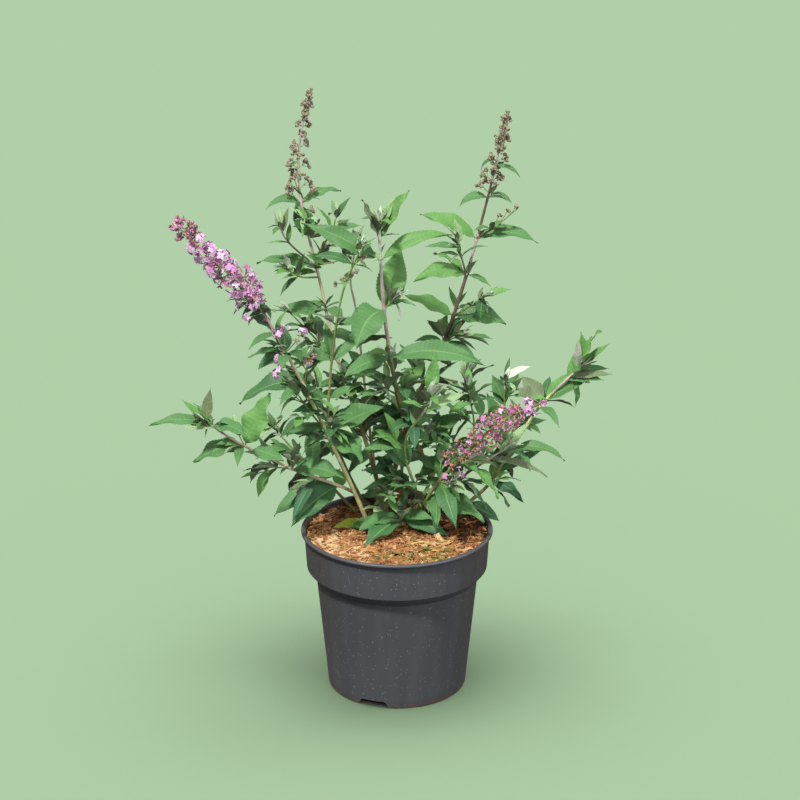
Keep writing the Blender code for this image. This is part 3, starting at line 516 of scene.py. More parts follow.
def axils(stems):
    """Both sides of each leaf node: (stem, node's number, distance, the stem's direction, side, turn)."""
    for stem in stems.values():
        for k, node in enumerate(stem.shoot.nodes):
            distance = min(node * MM, stem.route.length - MM)
            onward = stem.route.direction(distance)
            for side in (0, 1):
                yield stem, k, distance, onward, side, stem.shoot.turn + 90 * k + 180 * side


def wanted_leaves(stems, rng):
    """Every leaf that the rule asks for, the set ones first: (stem, leaf, its key among the set ones)."""
    chosen, ruled = [], []
    for stem, k, distance, onward, side, turn in axils(stems):
        shoot = stem.shoot
        turn += rng.uniform(-14, 14)
        heading, rise = angles_of(aim_from(onward, turn, shoot.spread + rng.uniform(-8, 8)))
        length = shoot.leaf * size_along(distance / stem.route.length) * rng.uniform(0.88, 1.08)
        droop = shoot.droop + rng.uniform(-12, 12)
        breadth = LEAF_BREADTH * rng.uniform(0.9, 1.15)
        roll = rng.uniform(-ROLL, ROLL)
        key = (shoot.name, k, side)
        given = SET_LEAVES.get(key)
        if given:
            heading, rise, length, droop, breadth = given
            roll = SET_FACING * math.cos(math.radians(heading))
        level = level_at(heading)
        off_axis = (level - onward * level.dot(onward)) * 0.25 * stem.radius(distance)
        root = stem.route.point(distance) + off_axis
        petiole = PETIOLE * stem.radius(distance) / MM
        leaf = Leaf(stem.piece_at(distance), root, heading, rise, length, droop, breadth, roll, petiole)
        (chosen if given else ruled).append((stem, leaf, key))
    return chosen + ruled


def leaf_tree(leaf, first):
    bm = leaf_mesh(leaf, ROOM, first)
    tree = BVHTree.FromBMesh(bm)
    bm.free()
    return tree


def is_kin(stem, other):
    """Whether one of the two grows on the other, so that their leaves may meet at the joint."""
    return other is not None and (other is stem.parent or other.parent is stem)


def place_leaves(stems, obstacles, rng):
    """The leaves that find room, each swayed a little where that helps: (stem, leaf, key)."""
    placed = []
    walls = [(None, BVHTree.FromBMesh(bm)) for bm in obstacles]
    for stem in stems.values():
        for _, start, end in stem.stretches():
            walls.append((stem, stem_tree(stem, start, end)))
    for stem, leaf, key in wanted_leaves(stems, rng):
        for sway, lift in SWAYS:
            tried = leaf._replace(heading=leaf.heading + sway, rise=leaf.rise + lift)
            whole = leaf_tree(tried, 0.0)
            blade = leaf_tree(tried, 0.18)
            if not any((blade if is_kin(stem, owner) else whole).overlap(wall)
                       for owner, wall in walls if owner is not stem):
                placed.append((stem, tried, key))
                walls.append((stem, whole))
                break
    return placed


def flower_balls(stem, start, widest, peak, rng):
    """The cymes of a flower spike as balls: (node, place, radius), in whorls that taper to the tip."""
    length = stem.route.length - start
    steps = round(length / (FLOWER_STEP * MM))
    balls = []
    for i in range(steps + 1):
        f = i / steps
        spread = widest * MM * min(1.0, 0.55 + 0.45 * f / peak)
        spread *= 1.0 - 0.62 * max(0.0, (f - peak) / (1 - peak))
        distance = start + length * f * 0.97
        onward = stem.route.direction(distance)
        for j in range(FLOWERS_AROUND if i < steps else 1):
            out = aim_from(onward, 360 * (j + 0.5 * (i % 2)) / FLOWERS_AROUND + rng.uniform(-14, 14), 90)
            radius = spread * 0.56 * rng.uniform(0.9, 1.1)
            reach = spread - radius if i < steps else 0.0
            place = stem.route.point(distance) + out * reach + onward * rng.uniform(-1.5, 1.5) * MM
            balls.append((stem.piece_at(distance), place, radius))
    return balls


def bud_knots(stem, start, longest, rng):
    """The bud clusters of a spike: (node, foot of the stalk, place, radius)."""
    length = stem.route.length - start
    steps = round(length / (BUD_STEP * MM))
    knots = []
    for i in range(steps):
        f = i / steps
        distance = start + length * (i + 0.3) / steps
        for side in (0, 1):
            turn = 20 + 90 * i + 180 * side + rng.uniform(-25, 25)
            aim = aim_from(stem.route.direction(distance), turn, 62)
            reach = (longest * (1 - 0.75 * f) + rng.uniform(-0.8, 0.8)) * MM
            radius = (3.6 - 1.7 * f) * rng.uniform(0.9, 1.15) * MM
            foot = stem.route.point(distance)
            knots.append((stem.piece_at(distance), foot, foot + aim * reach, radius))
    return knots


def ball(place, radius, turn):
    bm = bmesh.new()
    matrix = Matrix.Translation(place) @ Matrix.Rotation(turn, 4, "Z")
    bmesh.ops.create_icosphere(bm, subdivisions=1, radius=radius, matrix=matrix)
    return bm


def knot(foot, place, radius):
    """A bud cluster that widens from its foot on the stem to the place, and closes beyond it."""
    onward = (place - foot).normalized()
    frame = Vector((0, 0, 1)).rotation_difference(onward).to_matrix().to_4x4()
    rings = (
        (foot, STALK_RADIUS * MM),
        (place, radius),
        (place + onward * radius, radius * 0.5),
    )
    return loft([Matrix.Translation(point) @ frame @ Matrix.Diagonal((size, size, size, 1.0))
                 for point, size in rings], 4)




# A small shape as arrays: points, each face's corners, corner counts and slot, and texture places.
Template = namedtuple("Template", "points corners counts slots places")


def template(bm, slot_of=None, place_of=None):
    """The mesh as arrays, so that many shaped copies can join into one piece."""
    bm.verts.index_update()
    points = np.array([vert.co for vert in bm.verts])
    corners, counts, slots, places = [], [], [], []
    for face in bm.faces:
        counts.append(len(face.verts))
        slots.append(slot_of(face) if slot_of else 0)
        corners.extend(vert.index for vert in face.verts)
        places.extend(place_of(face) if place_of else ((vert.co.x, vert.co.y) for vert in face.verts))
    bm.free()
    return Template(points, np.array(corners), np.array(counts), np.array(slots), np.array(places))


class Joined:
    """Shaped copies of templates, gathered to become one mesh."""

    def __init__(self):
        self.parts = []
        self.total = 0

    def add(self, shape, points, slots, places=None):
        """One copy with its own points. `slots` gives the material of each face, or of each slot."""
        slots = np.asarray(slots)
        if len(slots) != len(shape.counts):
            slots = slots[shape.slots]
        places = shape.places if places is None else places
        self.parts.append((points, shape.corners + self.total, shape.counts, slots, places))
        self.total += len(points)

    def build(self, name, materials, smooth_degrees=50):
        points, corners, counts, slots, places = (np.concatenate(column) for column in zip(*self.parts))
        mesh = bpy.data.meshes.new(name)
        mesh.vertices.add(len(points))
        mesh.vertices.foreach_set("co", points.astype(np.float32).ravel())
        mesh.loops.add(len(corners))
        mesh.loops.foreach_set("vertex_index", corners.astype(np.int32))
        mesh.polygons.add(len(counts))
        starts = np.concatenate(([0], np.cumsum(counts)[:-1]))
        mesh.polygons.foreach_set("loop_start", starts.astype(np.int32))
        mesh.polygons.foreach_set("material_index", slots.astype(np.int32))
        mesh.update(calc_edges=True)
        layer = mesh.uv_layers.new(name="Surface")
        layer.uv.foreach_set("vector", places.astype(np.float32).ravel())
        mesh.shade_smooth()
        mesh.set_sharp_from_angle(angle=math.radians(smooth_degrees))
        for material in materials:
            mesh.materials.append(material)
        return add_piece(name, mesh)


def add_piece(name, mesh):
    piece = bpy.data.objects.new(name, mesh)
    bpy.context.scene.collection.objects.link(piece)
    return piece


def slots_in(materials, *names):
    return [materials.index(name) for name in names]


def carry(piece, slot, *nodes):
    """Seats a finished piece: it rides on the one body and stands for the given nodes."""
    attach(piece, "root")
    if nodes:
        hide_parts(*nodes)


def blade_template(rows, halves):
    """A flat blade with a thickness: across from -1 to 1, along from 0 to 1, and 0 over -1 under.
    `halves` places its columns from the midrib out to the margin."""
    bm = bmesh.new()
    columns = 2 * len(halves) - 1
    bmesh.ops.create_grid(bm, x_segments=columns, y_segments=rows, size=1.0)
    for vert in bm.verts:
        column = round((vert.co.x + 1) / 2 * columns)
        half = column - columns / 2
        vert.co.x = math.copysign(halves[round(abs(half) - 0.5)], half)
        vert.co.y = (vert.co.y + 1) / 2
    bmesh.ops.solidify(bm, geom=bm.faces[:], thickness=1.0)

    def slot_of(face):
        if face.normal.z < 0.5:
            return 2
        return 1 if abs(face.calc_center_median().x) < halves[0] else 0

    bm.normal_update()
    return template(bm, slot_of)


def tube_template(sides, levels):
    """A closed tube of radius 1 from z 0 to 1, with rings between. Places are the turn and the height."""
    bm = bmesh.new()
    bmesh.ops.create_cone(bm, cap_ends=True, segments=sides, radius1=1.0, radius2=1.0, depth=1.0)
    upright = [edge for edge in bm.edges if abs(edge.verts[0].co.z - edge.verts[1].co.z) > 0.5]
    if levels > 2:
        bmesh.ops.subdivide_edges(bm, edges=upright, cuts=levels - 2)
    bmesh.ops.translate(bm, vec=(0, 0, 0.5), verts=bm.verts)

    def place_of(face):
        middle = face.calc_center_median()
        turn = math.atan2(middle.y, middle.x)
        places = []
        for vert in face.verts:
            here = math.atan2(vert.co.y, vert.co.x)
            if len(face.verts) == 4:
                here += 2 * math.pi * round((turn - here) / (2 * math.pi))
            places.append((here / (2 * math.pi), vert.co.z))
        return places

    return template(bm, place_of=place_of)


TUBES = {}


def tube(sides, levels):
    if (sides, levels) not in TUBES:
        TUBES[sides, levels] = tube_template(sides, levels)
    return TUBES[sides, levels]


def tube_points(shape, centres, radii, relief=None):
    """The tube's points along the given centres. `relief` changes the radius by turn and level."""
    levels = len(centres)
    level = np.rint(shape.points[:, 2] * (levels - 1)).astype(int)
    turn = np.arctan2(shape.points[:, 1], shape.points[:, 0])
    onward = Vector((0, 0, 1))
    frame_turn = Matrix.Identity(3)
    across, beyond = [], []
    for i in range(levels):
        ahead = Vector(centres[min(i + 1, levels - 1)]) - Vector(centres[max(i - 1, 0)])
        frame_turn = onward.rotation_difference(ahead).to_matrix() @ frame_turn
        onward = ahead.normalized()
        across.append(frame_turn.col[0].copy())
        beyond.append(frame_turn.col[1].copy())
    across, beyond, centres = np.array(across), np.array(beyond), np.array(centres)
    radius = np.array(radii)[level]
    if relief is not None:
        radius = radius * relief(turn, level)
    ring = np.cos(turn)[:, None] * across[level] + np.sin(turn)[:, None] * beyond[level]
    return centres[level] + radius[:, None] * ring


def turned(direction, spin=0.0):
    """The turn that points +Z along the direction, as an array for rows of points."""
    frame_turn = Vector((0, 0, 1)).rotation_difference(Vector(direction)).to_matrix()
    return np.array(frame_turn @ Matrix.Rotation(spin, 3, "Z"))



FOOT = 0.05  # the bare stalk of a leaf, as a fraction of its length
PEAK = 0.38  # where a blade is widest
# Blades by the length in millimetres that they serve up to: small ones have fewer rows and columns.
WIDE_HALVES = (0.055, 0.36, 0.7, 1.0)
BLADES = (
    (26, 10, blade_template(10, (0.08, 0.5, 1.0))),
    (42, 20, blade_template(20, WIDE_HALVES)),
    (999, 40, blade_template(40, WIDE_HALVES)),
)

LEAF_MATERIALS = (
    "leaf_mid", "leaf_bright", "leaf_deep", "leaf_blue", "leaf_young",
    "leaf_rib", "leaf_rib_young", "leaf_under", "leaf_felt", "leaf_yellow",
)
# The bend of a blade: how far its halves fold up, how far its margin waves, how far its sides curl
# down, how it turns along its length, and how far its tip swings to a side.
Bend = namedtuple("Bend", "fold wave curl twist swing phase")


def outline(s):
    """Half-width along a blade, from 0 to 1: a narrow foot and a long drawn tip."""
    body = np.clip((s - FOOT) / (1 - FOOT), 0, 1)
    return (body / PEAK) ** 0.8 * ((1 - body) / (1 - PEAK)) ** 1.29


def blade_points(leaf, bend, settings):
    """The points of one blade: toothed, folded along its midrib, waved, bent down and turned."""
    rows, shape = next((rows, shape) for longest, rows, shape in BLADES if leaf.length < longest)
    across, along, depth = shape.points.T
    half = leaf.length * leaf.breadth / 2 * settings.fullness
    row = np.rint(along * rows)
    edge = np.abs(across) > 0.99
    tooth = edge & (row % 2 == 1) & (row > rows * 0.08)
    s = along + tooth * 0.45 / rows
    width = half * outline(s)
    stalk = leaf.petiole * np.clip(1.6 - s * 10, 0.25, 1)
    width = np.maximum(width * (1 + tooth * settings.tooth), stalk) * np.where(s > 0.98, 0.4, 1)
    out = np.abs(across)
    veins = leaf.length / settings.vein_spacing
    open_blade = np.clip((s - 0.06) * 8, 0, 1)
    lift = bend.fold * out * width * open_blade
    lift -= bend.curl * half * out ** 3 * open_blade
    wave = np.sin(2 * math.pi * (2.6 * s + bend.phase) + (across > 0) * 2.1)
    lift += bend.wave * half * out ** 2 * wave * open_blade
    puff = np.cos(2 * math.pi * (s * veins - 0.5 * out)) * out * (1 - out) * 4
    lift += settings.puff * half * puff * open_blade
    rib = np.exp(-(across / 0.2) ** 2) * (1 - s) ** 0.5
    below = depth < -0.5
    lift -= np.where(below, 0.3 * (1 - 0.5 * s) + rib * (0.35 + 0.02 * half), rib * 0.02 * half)
    lift -= below * np.clip(0.1 - s, 0, 1) * 10 * leaf.petiole * 0.9

    rise = math.radians(leaf.rise)
    droop = math.radians(leaf.droop if abs(leaf.droop) > 0.5 else 0.5)
    pitch = rise - droop * s
    reach = (math.sin(rise) - np.sin(pitch)) / droop * leaf.length
    height = (np.cos(pitch) - math.cos(rise)) / droop * leaf.length
    heading = math.radians(leaf.heading)
    level = np.array((math.cos(heading), math.sin(heading), 0.0))
    upright = np.array((0.0, 0.0, 1.0))
    beside = np.cross(level, upright)
    up = np.outer(np.cos(pitch), upright) - np.outer(np.sin(pitch), level)
    roll = np.radians(leaf.roll + bend.twist * s)[:, None]
    normal = up * np.cos(roll) + beside * np.sin(roll)
    side = beside * np.cos(roll) - up * np.sin(roll)
    points = np.outer(reach, level) + np.outer(height, upright)
    points += np.outer(bend.swing * leaf.length * s ** 2, beside)
    points += side * (across * width)[:, None] + normal * lift[:, None]
    places = shape.places * (1.0, veins)
    return shape, np.array(leaf.root) + points * MM, places


def leaf_slots(tone):
    """Material of a blade's face, midrib and underside, by the blade's tone."""
    names = {"young": ("leaf_young", "leaf_rib_young", "leaf_felt"), "felt": ("leaf_felt",) * 3,
             "grey": ("leaf_under", "leaf_rib", "leaf_under"),
             "yellow": ("leaf_yellow", "leaf_rib_young", "leaf_yellow")}
    face, rib, under = names.get(tone, (f"leaf_{tone}", "leaf_rib", "leaf_under"))
    return slots_in(LEAF_MATERIALS, face, rib, under)


def leaf_bend(leaf, rng, fold):
    """Drawn for each leaf; small ones are flatter."""
    loose = 1.0 if leaf.length > 45 else 0.5
    return Bend(fold * rng.uniform(0.6, 1.4), loose * rng.uniform(0.07, 0.22), loose * rng.uniform(0.0, 0.22),
                loose * rng.uniform(-30, 30), rng.uniform(-0.1, 0.1), rng.random())


YOUNG_FROM = 0.93  # from here on along a shoot, leaves shorter than the next value are young
YOUNG_LEAF = 52.0
# Below this height the deep and blue tones, which add painted shade, are drawn more often.
SHADE_HEIGHT = 0.30  # height in metres under which leaves are darker


def leaf_tone(leaf, key, fraction, rng):
    """Young leaves are pale; those low inside the plant are more often deep or blue, which paints the shade
    there; the rest mixed.
    """
    if key in LEAF_TONES:
        return LEAF_TONES[key]
    if fraction > YOUNG_FROM and leaf.length < YOUNG_LEAF:
        return "young" if rng.random() < 0.7 else "bright"
    weights = (5, 2, 4, 1.5, 0.6) if leaf.root.z < SHADE_HEIGHT else (6, 3, 2, 0.6, 0.5)
    return rng.choices(("mid", "bright", "deep", "blue", "grey"), weights)[0]


# Small leaves that only this script makes, by shoot: how far along, then as the set leaves, and the tone.
# Here too, bright tones add painted light, and deep and blue ones add painted shade.
SMALL_LEAVES = (
    ("left_flowering", (312, 182, 8, 25, 84, 0.27, "blue"), (306, 194, -4, 23, 80, 0.25, "blue"),
     (314, -4, -6, 22, 86, 0.3, "deep"), (320, -12, 2, 14, 60, 0.32, "deep"),
     (286, 168, 34, 26, 20, 0.46, "blue"), (372, 250, -30, 12, 30, 0.4, "deep"),
     (248, 4, 14, 30, 60, 0.26, "mid")),
    ("tall_left", (306, 182, 8, 40, 34, 0.19, "bright"), (431, 178, -4, 13, 80, 0.3, "bright")),
    ("tall_right", (437, 180, 20, 24, 108, 0.17, "deep"), (430, -4, 14, 32, 76, 0.17, "mid"),
     (425, 20, 50, 15, 20, 0.5, "blue"), (418, 280, 62, 14, 10, 0.4, "mid")),
    ("right_sprig", (22, 60, 40, 18, 50, 0.28, "mid")),
    ("low_left", (92, 96, 40, 24, 10, 0.6, "bright")),
    ("left_flowering", (9, 186, 10, 42, 30, 0.3, "yellow")),
    ("low_right", (226, -20, 67, 63, 10, 0.36, "bright"), (236, -97, 65, 45, -14, 0.17, "felt"),
     (242, 0, 47, 42, 10, 0.2, "bright"), (236, 0, 47, 25, 4, 0.18, "felt"),
     (234, 18, 6, 39, 16, 0.2, "deep"), (224, -10, 13, 46, 16, 0.22, "grey"),
     (183, 12, 54, 42, 14, 0.3, "bright"), (183, -14, 39, 59, 18, 0.22, "mid"),
     (179, 159, 50, 39, 10, 0.5, "grey"), (115, -25, 69, 36, 20, 0.36, "young"),
     (75, 10, 29, 61, 12, 0.17, "deep")),
    ("right_low", (53, 147, 69, 39, 14, 0.42, "mid"), (84, 0, 41, 34, 24, 0.26, "felt"),
     (84, 36, 69, 17, 6, 0.25, "felt"), (86, 55, 66, 25, 10, 0.2, "deep"),
     (10, 103, 89, 44, 14, 0.42, "mid")),
    ("thin_right", (141, -12, 8, 70, 40, 0.12, "grey")),
    ("left_high", (57, -137, 58, 35, -16, 0.17, "felt"), (57, 39, 75, 29, 10, 0.2, "grey")),
    ("left_back", (53, 0, 66, 29, 20, 0.24, "deep"), (53, -119, 76, 23, 8, 0.2, "felt"),
     (53, -26, 80, 19, 8, 0.18, "felt")),
    ("tall_left", (346, 133, 61, 33, 14, 0.5, "deep"), (346, 37, 23, 25, 14, 0.55, "grey")),
    ("far_left", (53, -168, -12, 74, 30, 0.32, "mid")),
    ("low_right", (20, -9, -10, 43, 26, 0.4, "deep")),
    ("back_left", (158, 180, 14, 97, 60, 0.27, "deep")),
    ("green_side", (28, -160, 13, 42, 20, 0.3, "deep"), (6, 180, 6, 53, 30, 0.24, "mid")),
    ("low_left", (213, -23, 2, 42, 20, 0.42, "mid")),
    ("right_inner", (37, 180, 17, 38, 30, 0.2, "mid")),
    ("right_outer", (44, 0, 25, 33, 20, 0.26, "bright"), (44, -120, -64, 25, 20, 0.42, "deep")),
    ("left_right", (10, -157, 38, 24, 14, 0.45, "bright")),
    ("little_front", (9, -162, 18, 47, 34, 0.32, "mid")),
    ("young_front_twig_0", (10, -169, 35, 56, 34, 0.32, "deep")),
    ("back_left", (14, -17, 34, 60, 30, 0.22, "mid")),
    ("young_front", (128, -149, 52, 50, 24, 0.3, "bright")),
    ("back_middle", (87, -24, 40, 56, 24, 0.3, "mid")),
    ("tall_left", (126, -53, 64, 41, 24, 0.34, "bright")),
    ("tall_centre", (72, -27, 51, 43, 30, 0.3, "mid")),
)


def aimed_leaf(node, root, aim, length, rng, breadth=(0.2, 0.3), droop=(5, 40)):
    return Leaf(node, root, *angles_of(aim), length, rng.uniform(*droop), rng.uniform(*breadth),
                rng.uniform(-25, 25), 0.4)


def small_leaves(stems):
    """The rows of SMALL_LEAVES as (stem, leaf, tone)."""
    for shoot, *rows in SMALL_LEAVES:
        stem = stems[shoot]
        for at, heading, rise, length, droop, breadth, tone in rows:
            root = stem.route.point(at * MM)
            roll = SET_FACING * math.cos(math.radians(heading))
            name = stem.piece_at(at * MM)
            yield stem, Leaf(name, root, heading, rise, length, droop, breadth, roll, 0.5), tone


LOW = 0.42  # height in metres under which the axils bear whole sprigs
Sprig = namedtuple("Sprig", "stem start end radius")


def axil_sprigs(stems, walls, rng, chance):
    """What the solids leave out in the leaf axils: leafy sprigs low down, and small pairs higher up.
    Gives the sprigs' stalks, and the leaves as (stem, leaf, tone)."""
    stalks, leaves = [], []
    for stem, k, distance, onward, side, turn in axils(stems):
        if rng.random() > chance:
            continue
        fraction = distance / stem.route.length
        foot = stem.route.point(distance)
        low = foot.z < LOW and fraction < 0.85
        turn += rng.uniform(-25, 25)
        aim = aim_from(onward, turn, rng.uniform(26, 56))
        reach = rng.uniform(8, 22) if low else rng.uniform(3, 7)
        size = rng.uniform(26, 46) if low else rng.uniform(15, 28) * (1 + size_along(fraction)) / 2
        clear = [row for row in sprig_leaves(stem, foot, aim, reach, size, low, rng)
                 if not any(leaf_tree(row[1], 0.3).overlap(wall) for wall in walls)]
        if clear:
            stalks.append(Sprig(stem, foot, foot + aim * reach * MM, 0.7 if low else 0.5))
            leaves += clear
    return stalks, leaves


# Tones of a sprig's leaves, by whether the pair is its last and whether it is a low sprig.
SPRIG_TONES = {(False, True): ("mid", "bright", "deep", "mid"), (False, False): ("mid", "young"),
               (True, True): ("young", "bright")}


def sprig_leaves(stem, foot, aim, reach, size, low, rng):
    """Opposite pairs up a sprig, each pair turned square to the one below it."""
    rows = []
    spin = rng.uniform(0, 360)
    node = stem.piece_at(0.0)
    steps = ((0.55, 1.0), (1.0, 0.55)) if low else ((0.9, 1.0),)
    for pair, (place, share) in enumerate(steps):
        last = pair == 1
        for side in (0, 1):
            spread = rng.uniform(12, 24) if last else rng.uniform(34, 62)
            out = aim_from(aim, spin + 90 * pair + 180 * side, spread)
            root = foot + aim * reach * place * MM
            length = size * share * rng.uniform(0.8, 1.15)
            leaf = aimed_leaf(node, root, out, length, rng, (0.27, 0.38), (10, 55))
            rows.append((stem, leaf, rng.choice(SPRIG_TONES[last, low])))
    return rows


# Pairs of a shoot's tip from the outermost in: length, angle off the stem, breadth, tones.
# The last value is how far under the tip the pair sits. They wrap the last stretch of the stem, whose
# solid reaches to where their points end.
TIP_PAIRS = ((36, 26, 0.27, ("bright", "young", "mid"), 15), (27, 14, 0.24, ("young", "grey", "felt"), 9),
             (17, 7, 0.22, ("felt",), 4))


def tip_tufts(stems, rng):
    """The folded, felted young leaves on each tip that bears no flowers."""
    for stem in stems.values():
        if stem.shoot.name in SPIKE_SHOOTS:
            continue
        tip = stem.route.length
        onward = stem.route.direction(tip)
        share = 0.72 if stem.parent else 1.0
        for pair, (length, spread, breadth, tones, under) in enumerate(TIP_PAIRS):
            for side in (0, 1):
                turn = stem.shoot.turn + 90 * pair + 180 * side + 45 + rng.uniform(-15, 15)
                aim = aim_from(onward, turn, spread * rng.uniform(0.7, 1.3))
                root = stem.route.point(tip - under * share * MM)
                size = length * share * rng.uniform(0.8, 1.2)
                name = stem.piece_at(tip)
                leaf = aimed_leaf(name, root, aim, size, rng, (breadth, breadth + 0.04), (5, 34))
                yield stem, leaf, rng.choice(tones)


# Shoots that end in a spike, or whose last leaves are all in SMALL_LEAVES.
SPIKE_SHOOTS = ("left_flowering", "tall_left", "tall_right", "right_flowering", "right_sprig",
                "low_right", "right_low", "left_high", "left_back")

# What each region's pieces stand for.
REGIONS = {
    "left": ("left_flowering", "tall_left", "low_left"),
    "centre": ("tall_centre", "young_front", "slender_back", "short_front", "little_front"),
    "right": ("tall_right", "low_right", "right_flowering", "thin_right"),
    "back": ("back_left", "back_middle", "back_right", "far_left", "far_right"),
}

STEM_MATERIALS = (
    "bark_brown", "bark_purple", "bark_olive", "bark_yellow", "bark_tan", "bark_mauve", "bark_cream",
    "bark_green",
)
# The colour of a shoot from its foot to its tip: (from this fraction on, material).
STEM_COLOURS = {
    "left_flowering": ((0, "yellow"), (0.5, "tan"), (0.6, "mauve"), (0.68, "tan")),
    "tall_left": ((0, "olive"), (0.3, "tan"), (0.62, "mauve")),
    "tall_centre": ((0, "olive"), (0.3, "brown"), (0.42, "olive"), (0.62, "mauve"), (0.84, "cream")),
    "tall_right": ((0, "brown"), (0.3, "purple"), (0.64, "mauve"), (0.72, "purple"), (0.88, "mauve")),
    "low_left": ((0, "olive"), (0.3, "tan"), (0.85, "mauve")),
    "low_right": ((0, "olive"), (0.5, "yellow"), (0.75, "mauve"), (0.9, "cream")),
    "right_flowering": ((0, "green"), (0.3, "olive")),
    "thin_right": ((0, "green"), (0.4, "olive"), (0.8, "cream")),
    "young_front": ((0, "yellow"), (0.5, "green"), (0.85, "cream")),
    "slender_back": ((0, "tan"), (0.6, "mauve")),
    "green_side": ((0, "olive"), (0.5, "green")),
    "right_sprig": ((0, "purple"), (0.4, "green")),
    "left_high": ((0, "purple"), (0.6, "mauve")),
}
PLAIN_STEM = ((0, "olive"), (0.5, "green"), (0.85, "cream"))


def stem_slots(shape, stem, start, end):
    """The material of each face, by its place along the shoot, with ragged borders."""
    colours = STEM_COLOURS.get(stem.shoot.name, PLAIN_STEM)
    face = np.repeat(np.arange(len(shape.counts)), shape.counts)
    height = np.bincount(face, shape.places[:, 1]) / shape.counts
    turn = np.bincount(face, shape.places[:, 0]) / shape.counts
    place = start + (end - start) * height
    fraction = place / stem.route.length + 0.025 * np.sin(turn * 12.6 + place / MM * 0.9)
    slots = np.zeros(len(shape.counts), int)
    for begin, colour in colours:
        slots[fraction >= begin] = STEM_MATERIALS.index("bark_" + colour)
    return slots


NODE_SWELL = 0.32  # how far a stem swells at its nodes, over its radius
NODE_REACH = 1.8
SOIL_FLARE = 0.45  # how far a cane widens where it meets the soil, over its radius
FLARE_REACH = 5.0
TIP_TAPER = 20.0  # the last stretch of a leafy stem, which slims to this share of its radius
TIP_SHARE = 0.35


def stem_tube(stem, sides, step, sunk, settings):
    """One shoot's skin: swollen at its nodes, ridged between them, and flared where it meets the soil."""
    length = stem.route.length
    levels = max(4, round(length / (step * MM)))
    places = [length * i / (levels - 1) for i in range(levels)]
    centres = [stem.route.point(place) for place in places]
    if sunk:
        centres[0] = centres[0] - Vector((0, 0, sunk * MM))
    nodes = [node * MM for node in stem.shoot.nodes]
    woody = min(1.0, stem.shoot.girth[0] / 6.0)
    bare = SPIKE_SHOOTS[:5]
    radii = []
    for place in places:
        swell = sum(math.exp(-((place - node) / (NODE_REACH * MM)) ** 2) for node in nodes)
        flare = 1 + SOIL_FLARE * math.exp(-place / (FLARE_REACH * MM)) if sunk else 1.0
        taper = TIP_SHARE + (1 - TIP_SHARE) * min(1.0, (length - place) / (TIP_TAPER * MM))
        slim = 1.0 if stem.shoot.name in bare else taper
        radii.append(stem.radius(place) * flare * slim * (1 + NODE_SWELL * min(1.0, swell)))
    radii[-1] *= 0.5
    phase = stem.shoot.turn
    depth = settings.ridge * (0.5 + woody)

    def relief(turn, level):
        along = level * step
        ridges = np.cos(4 * turn + math.radians(phase)) * 0.04
        grain = np.sin(7 * turn + 0.35 * along + phase) * np.sin(3 * turn - 0.21 * along)
        return 1 + ridges + depth * grain

    shape = tube(sides, levels)
    points = tube_points(shape, centres, radii, relief)
    girth = 2 * math.pi * stem.radius(length / 2) / MM
    return shape, points, stem_slots(shape, stem, 0.0, length), shape.places * (girth, length / MM)


def region_of(name, stems):
    stem = stems[name]
    cane = stem.parent.shoot.name if stem.parent else name
    return next(region for region, canes in REGIONS.items() if cane in canes)


# Florets and buds point along +Z with their mouth at the origin, in millimetres.
FLOWER_MATERIALS = (
    "petal_pale", "petal_pink", "petal_deep", "floret_tube", "floret_throat", "petal_rose",
    "petal_faded", "calyx_green", "calyx_brown",
)
BUD_MATERIALS = ("bud_beige", "bud_green", "bud_mauve", "bud_dark")


class Shape:
    """A small shape under construction, whose faces remember the slot that they were made for."""

    def __init__(self):
        self.bm = bmesh.new()
        self.slots = self.bm.faces.layers.int.new("slot")

    def mark(self, slot, before):
        self.bm.faces.ensure_lookup_table()
        for face in self.bm.faces[before:]:
            face[self.slots] = slot

    def cone(self, slot, sides, low_radius, high_radius, low, high):
        before = len(self.bm.faces)
        bmesh.ops.create_cone(self.bm, cap_ends=True, segments=sides, radius1=low_radius, radius2=high_radius,
                              depth=high - low, matrix=Matrix.Translation((0, 0, (low + high) / 2)))
        self.mark(slot, before)

    def petal(self, slot, turn, spread, length, width):
        """A rounded lobe that leaves the mouth at the given turn, cupped and a little thick."""
        before = len(self.bm.faces)
        verts = bmesh.ops.create_grid(self.bm, x_segments=1, y_segments=2, size=1.0)["verts"]
        for vert in verts:
            x, y = vert.co.x, (vert.co.y + 1) / 2
            half = width / 2 * (0.42, 1.0, 0.62)[round(y * 2)]
            rise = spread * length * y - 0.35 * length * y * y + 0.12 * length * y
            vert.co = Vector((x * half, 0.3 + length * y, rise))
        self.bm.faces.ensure_lookup_table()
        bmesh.ops.solidify(self.bm, geom=self.bm.faces[before:], thickness=0.25)
        self.mark(slot, before)
        verts = {vert for face in self.bm.faces[before:] for vert in face.verts}
        bmesh.ops.rotate(self.bm, cent=(0, 0, 0), matrix=Matrix.Rotation(turn, 3, "Z"), verts=list(verts))

    def done(self):
        return template(self.bm, slot_of=lambda face: face[self.slots])


def floret_template(spread, petal_length, petal_width, tube_length=7.0):
    """An open floret: calyx, narrow tube, throat and four lobes."""
    shape = Shape()
    shape.cone(2, 4, 0.45, 0.95, -tube_length - 1, 1.2 - tube_length)
    shape.cone(1, 4, 0.5, 0.8, -tube_length, 0.0)
    for i in range(4):
        shape.petal(0, math.pi / 2 * i, spread, petal_length, petal_width)
    shape.cone(3, 4, 0.62, 0.45, -0.2, 0.3)
    return shape.done()


